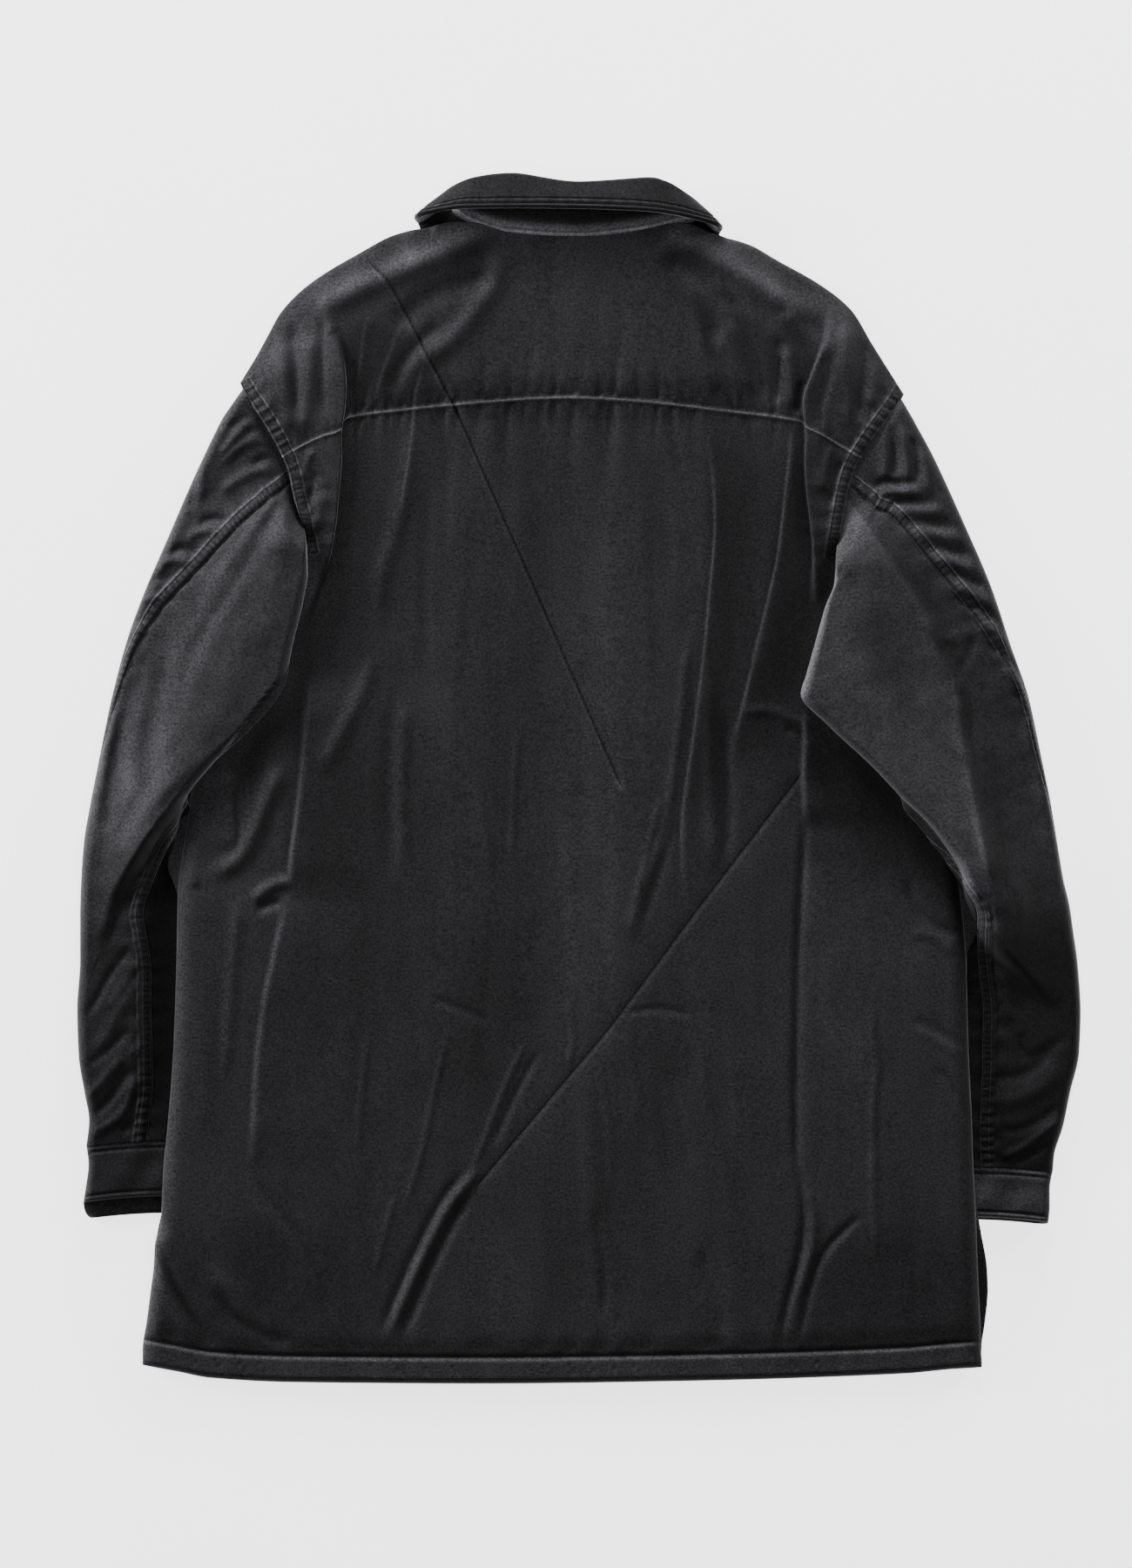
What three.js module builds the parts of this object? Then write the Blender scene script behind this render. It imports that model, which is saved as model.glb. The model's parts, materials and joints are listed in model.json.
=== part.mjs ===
// A padded velveteen blouson laid face down on a flat surface.
// Millimetres, +Z up, +Y toward the collar, +X toward the wearer's right side.
// The two fronts lie on the surface, the back and yoke lie on them, the upper arms lie on the
// sides of the back, and the forearms and cuffs run under the sides of the body.
import * as THREE from "three";

// ---------- driving sizes ----------
const PAD = 8; // one padded wall: velveteen, wadding and lining
const SLIT = 1; // air between two padded walls that lie on each other
const SEAM = 0.6; // clearance between two pieces at a seam
const BODY_THICK = 2 * PAD + SLIT;
const BODY_ROLL = 10; // how far in from a folded side the body rounds off
const HEM_DEPTH = 18.6; // turned-up hem
const HEM_THICK = 6; // one panel at its hem, pressed flatter than the rest
const LAP_THICK = 3.6; // each front where the two overlap at the centre
const LIFT = 16; // how high the body's side rides on a forearm
const LIFT_SPREAD = 110; // width over which it comes back down to the surface
const LEAF_LIFT = 7.5; // how high the fronts ride on the collar's front leaves
const CAP_GAP = 1.4; // clearance at the armholes, whose two edges are sampled at different places
const RIDE_CLEAR = 3.5; // how far an upper arm rides above the back
const SLEEVE_ROLL = 11; // how far in from its folds a sleeve rounds off
const SLEEVE_AIR = 1.7; // half the air inside a flattened sleeve
const SLEEVE_INSET = 7; // wall of a sleeve at its two folds
const CUFF_THICK = 14; // both layers of a cuff
const CUFF_WALL = 5.6;
const CUFF_ROLL = 6;
const COLLAR_THICK = 5;
const VELVETEEN = { color: 0x2b2a2c, roughness: 0.95, metalness: 0 };

// ---------- outline of the body ----------
// Side edges, then armholes, by their place along the body. frontRight is the right front's own
// edge, which shows past the back between the cuff and the hem.
const SIDES = [
  { y: -417, left: -297, right: 279, frontRight: 279 },
  { y: -404, left: -301, right: 279, frontRight: 279 },
  { y: -394, left: -301, right: 278.4, frontRight: 278.6 },
  { y: -374, left: -298, right: 277.8, frontRight: 281 },
  { y: -353, left: -295, right: 276.3, frontRight: 282.6 },
  { y: -335, left: -292.5, right: 275.3, frontRight: 281.6 },
  { y: -320, left: -291.5, right: 274.5, frontRight: 279 },
  { y: -306, left: -287.5, right: 274, frontRight: 276 },
  { y: -267, left: -285.5, right: 272, frontRight: 272 },
  { y: -237, left: -282.5, right: 271, frontRight: 271 },
  { y: -183, left: -278.5, right: 268.5, frontRight: 268.5 },
  { y: -123, left: -276.5, right: 267, frontRight: 267 },
  { y: -75, left: -275.5, right: 263, frontRight: 263 },
  { y: -36, left: -270.5, right: 258, frontRight: 258 },
  { y: 10, left: -264.5, right: 255, frontRight: 255 },
  { y: 57, left: -256, right: 250, frontRight: 250 },
  { y: 78, left: -247, right: 243, frontRight: 243 },
  { y: 90, left: -226, right: 224, frontRight: 224 },
  { y: 106, left: -205, right: 203, frontRight: 203 },
  { y: 128, left: -192, right: 186, frontRight: 186 },
  { y: 150, left: -187.3, right: 178.5, frontRight: 178.5 },
  { y: 174, left: -190, right: 181.5, frontRight: 181.5 },
  { y: 194, left: -196, right: 185, frontRight: 185 },
  { y: 212, left: -200, right: 190, frontRight: 190 },
  { y: 226, left: -206, right: 198, frontRight: 198 },
  { y: 244, left: -216, right: 210, frontRight: 210 },
  { y: 264, left: -229, right: 224, frontRight: 224 },
  { y: 280, left: -236, right: 232, frontRight: 232 },
];
const UNDERARM = 78; // the side seam ends here and the armhole starts

// Lower edge, by its place across the body.
const HEM = [
  { x: -302, y: -404 },
  { x: -275, y: -409 },
  { x: -254, y: -413 },
  { x: -197, y: -416 },
  { x: -68, y: -417 },
  { x: 82, y: -415 },
  { x: 226, y: -410 },
  { x: 258, y: -407 },
  { x: 284, y: -405.5 },
];

// Seam between the back and the yoke. A lengthwise fold at each side takes up cloth, so the
// seam steps there.
const YOKE_SEAM = [
  { x: -206, y: 221 },
  { x: -186, y: 232 },
  { x: -172, y: 238.5 },
  { x: -158, y: 249.5 },
  { x: -126, y: 254 },
  { x: -64, y: 260 },
  { x: -8, y: 263 },
  { x: 37, y: 261 },
  { x: 101, y: 254 },
  { x: 148, y: 248 },
  { x: 157, y: 245.5 },
  { x: 171, y: 235.5 },
  { x: 198, y: 220 },
];

// Shoulder and neck line: of the yoke at the back, and of the fronts, whose neck is lower.
const SHOULDER = [
  { x: -233, back: 274, front: 274 },
  { x: -218, back: 299, front: 299 },
  { x: -205, back: 323, front: 323 },
  { x: -186, back: 342, front: 342 },
  { x: -154, back: 362, front: 362 },
  { x: -126, back: 376, front: 376 },
  { x: -105, back: 380, front: 380 },
  { x: -86, back: 384, front: 380 },
  { x: -72, back: 383.5, front: 368 },
  { x: -50, back: 377, front: 347 },
  { x: -25, back: 374.5, front: 334 },
  { x: 0, back: 374, front: 330 },
  { x: 25, back: 375, front: 334 },
  { x: 50, back: 379.5, front: 347 },
  { x: 66, back: 383, front: 367 },
  { x: 78, back: 382, front: 376 },
  { x: 90, back: 377, front: 375 },
  { x: 104, back: 373, front: 373 },
  { x: 119, back: 368.5, front: 368.5 },
  { x: 135, back: 360, front: 360 },
  { x: 170, back: 340, front: 340 },
  { x: 189, back: 324, front: 324 },
  { x: 203, back: 301, front: 301 },
  { x: 225, back: 266, front: 266 },
];
const NECK_HALF = 88; // beyond this the shoulder edge is a fold, inside it a seam

// ---------- folds of the body ----------
// ridge: a rounded roll, trough: the same turned down, lip: cloth raised on the left of the path
// that sinks back over its reach.
const BODY_FOLDS = [
  { name: "left armhole fold", kind: "lip", width: 4, height: 7, reach: 30,
    path: [[-193, 98], [-180, 132], [-171, 180], [-167, 225], [-164, 265], [-164, 300], [-170, 318]] },
  { name: "right armhole fold", kind: "lip", width: 4, height: 6, reach: 30,
    path: [[172, 330], [173, 302], [163, 272], [157, 262], [160, 240], [161, 200], [166, 158], [164, 132],
      [162, 100]] },
  { name: "long right fold", kind: "trough", width: 14, height: 4, reach: 0,
    path: [[98, 215], [94, 110], [84, 20], [70, -40]] },
  { name: "short right fold", kind: "trough", width: 10, height: 4, reach: 0,
    path: [[122, 240], [126, 150], [116, 60]] },
  { name: "drag at the right side", kind: "ridge", width: 14, height: 4, reach: 0,
    path: [[160, 5], [158, -17], [159, -50], [172, -95]] },
  { name: "left side roll", kind: "ridge", width: 16, height: 5, reach: 0,
    path: [[-188, 27], [-190, -1], [-197, -50], [-210, -78]] },
  { name: "crease over the left forearm", kind: "trough", width: 9, height: 4, reach: 0,
    path: [[-203, -104], [-218, -154], [-230, -215]] },
  { name: "lower left crease", kind: "trough", width: 6, height: 3, reach: 0,
    path: [[-234, -266], [-206, -302], [-189, -337], [-176, -370]] },
  { name: "broad lower fold", kind: "ridge", width: 14, height: 4, reach: 0,
    path: [[-70, -262], [-95, -306], [-120, -360], [-134, -392]] },
  { name: "lower right fold", kind: "trough", width: 8, height: 3, reach: 0,
    path: [[150, -200], [155, -280], [160, -340]] },
  { name: "left shoulder roll", kind: "ridge", width: 20, height: 4, reach: 0,
    path: [[-112, 366], [-150, 350], [-190, 318]] },
  { name: "right shoulder roll", kind: "ridge", width: 20, height: 4, reach: 0,
    path: [[104, 360], [140, 340], [168, 305]] },
];

// ---------- sleeves ----------
// A row for each section from the armhole to the cuff: its outer fold, its inner fold, the height
// of the two layers, and where the two long seams cross it. A seam's place runs from 0 at the outer
// fold to 1 at the inner fold over the top, and on to 2 round the underside.
const LEFT_SLEEVE = {
  side: -1,
  capTop: 271,
  capEnd: 158,
  crossing: { over: -8, clear: -40 },
  lift: { from: -28, full: -62 },
  sections: [
    { ox: -233, oy: 271, ix: -187, iy: 158, height: 17, elbow: 0.565, under: 1.45 },
    { ox: -245, oy: 251, ix: -186, iy: 142, height: 18, elbow: 0.53, under: 1.45 },
    { ox: -263, oy: 214, ix: -189, iy: 123, height: 19, elbow: 0.436, under: 1.45 },
    { ox: -283, oy: 168, ix: -196, iy: 94, height: 20, elbow: 0.32, under: 1.45 },
    { ox: -301, oy: 126, ix: -202, iy: 66, height: 20, elbow: 0.209, under: 1.45 },
    { ox: -312, oy: 95, ix: -208, iy: 55, height: 21, elbow: 0.156, under: 1.42 },
    { ox: -322, oy: 57, ix: -227, iy: 33.6, height: 22, elbow: 0.107, under: 1.36 },
    { ox: -330, oy: 18, ix: -251, iy: 11, height: 23, elbow: 0.055, under: 1.25 },
    { ox: -337, oy: -18, ix: -273, iy: -20, height: 25, elbow: -0.02, under: 1.09 },
    { ox: -341, oy: -42, ix: -277, iy: -45, height: 26, elbow: -0.08, under: 0.9 },
    { ox: -343, oy: -67, ix: -272, iy: -68, height: 24, elbow: -0.12, under: 0.7 },
    { ox: -344, oy: -95, ix: -257, iy: -95, height: 22, elbow: -0.14, under: 0.51 },
    { ox: -344, oy: -125, ix: -243, iy: -125, height: 22, elbow: -0.16, under: 0.49 },
    { ox: -346, oy: -158, ix: -234, iy: -158, height: 22, elbow: -0.17, under: 0.468 },
    { ox: -345, oy: -190, ix: -230, iy: -190, height: 22, elbow: -0.18, under: 0.457 },
    { ox: -341, oy: -215, ix: -228, iy: -216, height: 20, elbow: -0.19, under: 0.433 },
    { ox: -338, oy: -232, ix: -227, iy: -233, height: 18, elbow: -0.19, under: 0.4 },
    { ox: -340, oy: -249.5, ix: -226, iy: -249, height: 15, elbow: -0.2, under: 0.39 },
  ],
  folds: [
    { name: "upper arm hanging over the elbow", kind: "lip", width: 4, height: 8, reach: 40,
      path: [[-330, -120], [-321, -95], [-316, -80], [-301, -57], [-288, -38], [-271, -16]] },
    { name: "upper arm roll", kind: "ridge", width: 26, height: 2, reach: 0,
      path: [[-205, 150], [-240, 90], [-285, 30], [-315, -40]] },
    { name: "forearm drag", kind: "ridge", width: 8, height: 3, reach: 0,
      path: [[-300, -130], [-320, -165], [-338, -190]] },
    { name: "wrist drag", kind: "ridge", width: 7, height: 3, reach: 0,
      path: [[-298, -190], [-315, -215], [-334, -236]] },
  ],
  cuff: [
    { ox: -340, oy: -250.5, ix: -226, iy: -250, drop: 0 },
    { ox: -338.5, oy: -262, ix: -226, iy: -262, drop: -4 },
    { ox: -340, oy: -275, ix: -226.5, iy: -275, drop: -8 },
    { ox: -342, oy: -288, ix: -227, iy: -287, drop: -12 },
  ],
};
const RIGHT_SLEEVE = {
  side: 1,
  capTop: 264,
  capEnd: 147,
  crossing: { over: -58, clear: -90 },
  lift: { from: -62, full: -98 },
  sections: [
    { ox: 224, oy: 264, ix: 178, iy: 147, height: 17, elbow: 0.518, under: 1.45 },
    { ox: 231, oy: 250, ix: 176, iy: 134, height: 18, elbow: 0.518, under: 1.45 },
    { ox: 245, oy: 224, ix: 170, iy: 119, height: 19, elbow: 0.423, under: 1.45 },
    { ox: 267, oy: 176, ix: 164, iy: 98, height: 20, elbow: 0.322, under: 1.45 },
    { ox: 285, oy: 134, ix: 157, iy: 73, height: 21, elbow: 0.233, under: 1.45 },
    { ox: 299, oy: 92, ix: 153, iy: 58, height: 22, elbow: 0.162, under: 1.45 },
    { ox: 311, oy: 57, ix: 172, iy: 37, height: 22, elbow: 0.124, under: 1.4 },
    { ox: 320, oy: 15, ix: 201, iy: 10, height: 23, elbow: 0.1, under: 1.35 },
    { ox: 326, oy: -15, ix: 220, iy: -10, height: 24, elbow: 0.06, under: 1.28 },
    { ox: 331, oy: -45, ix: 243, iy: -33, height: 25, elbow: 0.02, under: 1.16 },
    { ox: 335, oy: -69, ix: 264, iy: -67, height: 26, elbow: -0.03, under: 1.02 },
    { ox: 339, oy: -86, ix: 267, iy: -88, height: 26, elbow: -0.07, under: 0.88 },
    { ox: 342, oy: -106, ix: 262, iy: -108, height: 25, elbow: -0.1, under: 0.8 },
    { ox: 345, oy: -128, ix: 248, iy: -129, height: 24, elbow: -0.13, under: 0.678 },
    { ox: 347, oy: -160, ix: 232, iy: -160, height: 23, elbow: -0.15, under: 0.574 },
    { ox: 346, oy: -188, ix: 222, iy: -188, height: 22, elbow: -0.17, under: 0.535 },
    { ox: 340, oy: -215, ix: 216, iy: -215, height: 21, elbow: -0.18, under: 0.5 },
    { ox: 335, oy: -238, ix: 213, iy: -240, height: 20, elbow: -0.19, under: 0.478 },
    { ox: 329, oy: -256, ix: 212, iy: -257, height: 17, elbow: -0.2, under: 0.45 },
    { ox: 328, oy: -267, ix: 211, iy: -268, height: 15, elbow: -0.2, under: 0.44 },
  ],
  folds: [
    { name: "upper arm hanging over the elbow", kind: "lip", width: 4, height: 8, reach: 40,
      path: [[256, -48], [260, -65], [267, -82], [281, -115], [303, -134], [331, -160]] },
    { name: "upper arm roll", kind: "ridge", width: 26, height: 2, reach: 0,
      path: [[195, 150], [225, 95], [262, 30], [290, -30]] },
    { name: "outer arm fold", kind: "ridge", width: 12, height: 4, reach: 0,
      path: [[235, 129], [250, 81], [257, 21], [262, -3]] },
    { name: "wrist drag", kind: "ridge", width: 7, height: 3, reach: 0,
      path: [[286, -190], [305, -212], [326, -240]] },
  ],
  cuff: [
    { ox: 328, oy: -268.2, ix: 211, iy: -269.2, drop: 0 },
    { ox: 326, oy: -279, ix: 211, iy: -280, drop: 0 },
    { ox: 326, oy: -291, ix: 210.5, iy: -291, drop: -1 },
    { ox: 325, oy: -302, ix: 210, iy: -302, drop: -2 },
  ],
};
const FRONT_SEAM = -0.35; // the outer panel ends here, on the underside

// ---------- collar ----------
// A row for each station round the neck, from the left front point over the back to the right one.
// The stand rises from its seam to its top, and the leaf turns down from its fold to its edge.
const STAND = [
  { sx: -1.5, sy: 334, sz: 11, tx: -1.5, ty: 358, tz: 11 },
  { sx: -24, sy: 339, sz: 11, tx: -22, ty: 361, tz: 11 },
  { sx: -49, sy: 353, sz: 11, tx: -45, ty: 372, tz: 11 },
  { sx: -71, sy: 374, sz: 11, tx: -64, ty: 387, tz: 11 },
  { sx: -86, sy: 391, sz: 12, tx: -79, ty: 398, tz: 13 },
  { sx: -84, sy: 392, sz: 18, tx: -77, ty: 401, tz: 21 },
  { sx: -70, sy: 387, sz: 20, tx: -65, ty: 406, tz: 26 },
  { sx: -50, sy: 380.5, sz: 20, tx: -46, ty: 409, tz: 28 },
  { sx: 0, sy: 377.5, sz: 20, tx: 0, ty: 406, tz: 29 },
  { sx: 50, sy: 383, sz: 20, tx: 42, ty: 407, tz: 28 },
  { sx: 66, sy: 387.5, sz: 20, tx: 57, ty: 404, tz: 26 },
  { sx: 79, sy: 388, sz: 18, tx: 70, ty: 397, tz: 21 },
  { sx: 80, sy: 386, sz: 12, tx: 71, ty: 394, tz: 13 },
  { sx: 67, sy: 373, sz: 11, tx: 59, ty: 384, tz: 11 },
  { sx: 49, sy: 353, sz: 11, tx: 44, ty: 371, tz: 11 },
  { sx: 24, sy: 339, sz: 11, tx: 22, ty: 361, tz: 11 },
  { sx: 1.5, sy: 334, sz: 11, tx: 1.5, ty: 358, tz: 11 },
];
const LEAF = [
  { sx: -2, sy: 363, sz: 2.6, tx: -22, ty: 298, tz: 2.6 },
  { sx: -30, sy: 368, sz: 2.6, tx: -52, ty: 290, tz: 2.6 },
  { sx: -60, sy: 384, sz: 2.6, tx: -84, ty: 330, tz: 2.6 },
  { sx: -80, sy: 396, sz: 2.8, tx: -102, ty: 362, tz: 2.8 },
  { sx: -88, sy: 401, sz: 7, tx: -111, ty: 385, tz: 6 },
  { sx: -90, sy: 402, sz: 17, tx: -112.5, ty: 386, tz: 18 },
  { sx: -87, sy: 405, sz: 28, tx: -110, ty: 387, tz: 32 },
  { sx: -70, sy: 413.5, sz: 34, tx: -78, ty: 391.5, tz: 42 },
  { sx: -45, sy: 416, sz: 36, tx: -47, ty: 391.5, tz: 45 },
  { sx: 0, sy: 410, sz: 37, tx: 0, ty: 391, tz: 46 },
  { sx: 48, sy: 413, sz: 36, tx: 50, ty: 389, tz: 45 },
  { sx: 60, sy: 410.5, sz: 34, tx: 66, ty: 387, tz: 42 },
  { sx: 78, sy: 398, sz: 28, tx: 96, ty: 380.5, tz: 32 },
  { sx: 81, sy: 396, sz: 17, tx: 99, ty: 379, tz: 18 },
  { sx: 79, sy: 395, sz: 7, tx: 98, ty: 378, tz: 6 },
  { sx: 72, sy: 391, sz: 2.8, tx: 92, ty: 358, tz: 2.8 },
  { sx: 56, sy: 382, sz: 2.6, tx: 78, ty: 330, tz: 2.6 },
  { sx: 30, sy: 368, sz: 2.6, tx: 52, ty: 290, tz: 2.6 },
  { sx: 2, sy: 363, sz: 2.6, tx: 22, ty: 298, tz: 2.6 },
];

// ---------- small maths ----------
const { lerp, clamp } = THREE.MathUtils;

/** 0 below the first value, 1 above the second, and a soft S between them, in either order. */
function soft(from, to, value) {
  const t = clamp((value - from) / (to - from), 0, 1);
  return t * t * (3 - 2 * t);
}

/** Height, 0 to 1, of a rounded edge a given way in from its tip. */
function roll(way, radius) {
  const q = clamp(way / radius, 0, 1);
  return Math.sqrt(1 - (1 - q) * (1 - q));
}

/** A function through a table's rows, one column worked out from another, with no overshoot. */
function through(rows, from, to) {
  const last = rows.length - 1;
  const key = (i) => (from === "row" ? i : rows[i][from]);
  const slope = (i) => (rows[i + 1][to] - rows[i][to]) / (key(i + 1) - key(i));
  const tangents = rows.map((row, i) => {
    if (i === 0) return slope(0);
    if (i === last) return slope(last - 1);
    const before = slope(i - 1);
    const after = slope(i);
    return before * after > 0 ? (2 * before * after) / (before + after) : 0;
  });
  return (value) => {
    const at = clamp(value, key(0), key(last));
    let i = 0;
    while (i < last - 1 && at > key(i + 1)) i += 1;
    const span = key(i + 1) - key(i);
    const t = (at - key(i)) / span;
    const a = rows[i][to];
    const b = rows[i + 1][to];
    const bend = ((1 - t) * tangents[i] - t * tangents[i + 1]) * span * t * (1 - t);
    return a + (b - a) * t * t * (3 - 2 * t) + bend;
  };
}

/** Signed distance from a path, positive on its left, and the share of its length reached. */
function fromPath(path, x, y) {
  let best = { distance: Infinity, along: 0 };
  path.slice(1).forEach(([bx, by], i) => {
    const [ax, ay] = path[i];
    const dx = bx - ax;
    const dy = by - ay;
    const t = clamp(((x - ax) * dx + (y - ay) * dy) / (dx * dx + dy * dy), 0, 1);
    const ex = x - ax - t * dx;
    const ey = y - ay - t * dy;
    const length = Math.hypot(ex, ey);
    if (length < Math.abs(best.distance)) {
      const sign = dx * ey - dy * ex >= 0 ? 1 : -1;
      best = { distance: sign * length, along: (i + t) / (path.length - 1) };
    }
  });
  return best;
}

/** Height that a table of folds adds at a place. */
function foldHeight(folds, x, y) {
  let height = 0;
  for (const fold of folds) {
    const { distance, along } = fromPath(fold.path, x, y);
    const ends = soft(0, 0.22, along) * soft(1, 0.78, along);
    const bell = Math.exp(-((distance / fold.width) ** 2));
    if (fold.kind === "ridge") height += fold.height * ends * bell;
    if (fold.kind === "trough") height -= fold.height * ends * bell;
    if (fold.kind === "lip") {
      const sink = Math.exp(-Math.max(distance, 0) / fold.reach);
      height += fold.height * ends * soft(-fold.width, fold.width, distance) * sink;
    }
  }
  return height;
}

// ---------- walls ----------
/**
 * A closed wall between two grids of points of the same size: the two faces, and rims along the
 * edges. A tube's rows close on themselves, so it has rims at its two ends only.
 */
function wall(outer, inner, tube = false) {
  const rows = outer.length;
  const columns = outer[0].length;
  const positions = [...outer.flat(), ...inner.flat()].flatMap((p) => [p.x, p.y, p.z]);
  const across = tube ? columns : columns - 1;
  const out = (i, j) => i * columns + (j % columns);
  const inn = (i, j) => rows * columns + out(i, j);
  const index = [];
  const quad = (a, b, c, d) => index.push(a, b, c, a, c, d);
  for (let i = 0; i < rows - 1; i += 1) {
    for (let j = 0; j < across; j += 1) {
      quad(out(i, j), out(i, j + 1), out(i + 1, j + 1), out(i + 1, j));
      quad(inn(i, j), inn(i + 1, j), inn(i + 1, j + 1), inn(i, j + 1));
    }
  }
  for (let j = 0; j < across; j += 1) {
    quad(out(0, j), inn(0, j), inn(0, j + 1), out(0, j + 1));
    quad(out(rows - 1, j), out(rows - 1, j + 1), inn(rows - 1, j + 1), inn(rows - 1, j));
  }
  if (!tube) {
    for (let i = 0; i < rows - 1; i += 1) {
      quad(out(i, 0), out(i + 1, 0), inn(i + 1, 0), inn(i, 0));
      quad(out(i, across), inn(i, across), inn(i + 1, across), out(i + 1, across));
    }
  }
  const geometry = new THREE.BufferGeometry();
  geometry.setAttribute("position", new THREE.Float32BufferAttribute(positions, 3));
  geometry.setIndex(volume(positions, index) < 0 ? index.reverse() : index);
  geometry.computeVertexNormals();
  return geometry;
}

/** Volume inside a closed mesh, negative where its faces point in. */
function volume(positions, index) {
  const corner = (i) => new THREE.Vector3(...positions.slice(3 * i, 3 * i + 3));
  let sum = 0;
  for (let i = 0; i < index.length; i += 3) {
    const [a, b, c] = [corner(index[i]), corner(index[i + 1]), corner(index[i + 2])];
    sum += a.dot(b.cross(c)) / 6;
  }
  return sum;
}

/** A grid of points, point(row, column) for each pair. */
function grid(rows, columns, point) {
  return rows.map((row) => columns.map((column) => point(row, column)));
}

/** Evenly spaced values, both ends among them. */
function evenly(from, to, count) {
  return Array.from({ length: count + 1 }, (_, i) => lerp(from, to, i / count));
}

// ---------- body ----------
const leftSide = through(SIDES, "y", "left");
const rightSide = through(SIDES, "y", "right");
const frontRightSide = through(SIDES, "y", "frontRight");
const hem = through(HEM, "x", "y");
const yokeSeam = through(YOKE_SEAM, "x", "y");
const backTop = through(SHOULDER, "x", "back");
const frontTop = through(SHOULDER, "x", "front");
const SHOULDER_FROM = SHOULDER[0].x;
const SHOULDER_TO = SHOULDER[SHOULDER.length - 1].x;

/** Place on the body: u across from left to right, v from hem (0) to yoke seam (1) to top (2). */
function bodyPlace(u, v, right, top, seamShift = 0) {
  const low = Math.min(v, 1);
  let y = lerp(-410, 240, low);
  let x = 0;
  for (let pass = 0; pass < 12; pass += 1) {
    x = lerp(leftSide(y), right(y), u);
    y = lerp(hem(x), yokeSeam(x) + seamShift, low);
  }
  if (v > 1) {
    const topX = lerp(SHOULDER_FROM, SHOULDER_TO, u);
    x = lerp(x, topX, v - 1);
    y = lerp(y, top(topX), v - 1);
  }
  return { x, y };
}

/** A sleeve's inner fold by its place along the body. */
const forearms = [LEFT_SLEEVE, RIGHT_SLEEVE].map((arm) => {
  const rows = [...arm.sections].reverse();
  return { ...arm, inner: through(rows, "iy", "ix") };
});

/** Height of what the body lies on: the surface, a forearm or the collar's front leaves. */
function bodyBase(x, y) {
  let height = 0;
  for (const arm of forearms) {
    const way = arm.side * (x - arm.inner(y));
    const across = soft(-LIFT_SPREAD - 8, -8, way);
    const start = soft(arm.lift.from, arm.lift.full, y);
    const end = soft(-402, -298, y);
    height = Math.max(height, LIFT * across * start * end);
  }
  const leaf = soft(245, 280, y) * soft(145, 115, Math.abs(x));
  return Math.max(height, LEAF_LIFT * leaf);
}

/** 1 where the back shows, 0 where an upper arm lies on it. */
function shown(x, y) {
  let share = 1;
  for (const arm of forearms) {
    const on = soft(arm.crossing.clear, arm.crossing.over, y) * soft(arm.capEnd + 24, arm.capEnd + 4, y);
    const way = -arm.side * (x - arm.inner(y));
    share *= 1 - on * (1 - soft(0, 16, way));
  }
  return share;
}

/** How far the body's edge has rounded up to its full thickness, 0 to 1. */
function bodyEdge(x, y, top) {
  const free = 40 * soft(UNDERARM - 18, UNDERARM, y);
  const side = Math.min(x - leftSide(y), rightSide(y) - x) + free;
  const steep = (top(x + 1) - top(x - 1)) / 2;
  const inNeck = 40 * soft(NECK_HALF + 14, NECK_HALF, Math.abs(x));
  const shoulder = (top(x) - y) / Math.hypot(1, steep) + inNeck;
  return Math.max(roll(Math.min(side, shoulder), BODY_ROLL), 0.12);
}

/** Thickness of one panel, which is pressed flatter in its turned-up hem. */
function panelThick(x, y) {
  const up = y - hem(x);
  const groove = 1.5 * Math.exp(-(((up - HEM_DEPTH) / 2.5) ** 2));
  const pressed = lerp(HEM_THICK, PAD, soft(HEM_DEPTH, HEM_DEPTH + 16, up));
  return (pressed - groove) * Math.max(roll(up, 5), 0.3);
}

function backPoint(u, v, face, seamShift) {
  const { x, y } = bodyPlace(u, v, rightSide, backTop, seamShift);
  const middle = bodyBase(x, y) + PAD + SLIT / 2;
  const edge = bodyEdge(x, y, backTop);
  const folds = foldHeight(BODY_FOLDS, x, y) * shown(x, y);
  const thick = SLIT / 2 + panelThick(x, y) + Math.max(folds, -3);
  return new THREE.Vector3(x, y, middle + (face === "top" ? thick * edge : SLIT / 2 * edge));
}

/** A front's share of the overlap at the centre: which layer it is there, or its whole thickness. */
function frontPoint(u, v, face, layer) {
  const { x, y } = bodyPlace(u, v, frontRightSide, frontTop);
  const base = bodyBase(x, y);
  const top = base + PAD + SLIT / 2;
  const edge = bodyEdge(x, y, frontTop);
  const upper = top - SLIT / 2 * edge;
  const lower = lerp(top, base, edge);
  if (layer === "under") return new THREE.Vector3(x, y, face === "top" ? base + LAP_THICK : base);
  if (layer === "over") return new THREE.Vector3(x, y, face === "top" ? upper : base + LAP_THICK + SEAM);
  return new THREE.Vector3(x, y, face === "top" ? upper : lower);
}

const SIDE_STEPS = [0, 0.004, 0.012, 0.026];
const BODY_COLUMNS = [
  ...SIDE_STEPS,
  ...evenly(0.052, 0.948, 22),
  ...SIDE_STEPS.map((step) => 1 - step).reverse(),
];
const HEM_ROWS = [0, 0.004, 0.01, 0.0275, 0.038];
const BACK_ROWS = [...HEM_ROWS, ...evenly(0.075, 0.7, 13), ...evenly(0.73, 0.98, 8), 1];
const YOKE_ROWS = [1, 1.05, 1.25, 1.5, 1.7, 1.84, 1.92, 1.97, 1.992, 2];
const LAP_COLUMN = 14; // the overlap runs from this column to the second one after it

function bodySheet(rows, columns, point) {
  const sheet = (face) => grid(rows, columns, (v, u) => point(u, v, face));
  return wall(sheet("top"), sheet("bottom"));
}

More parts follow.
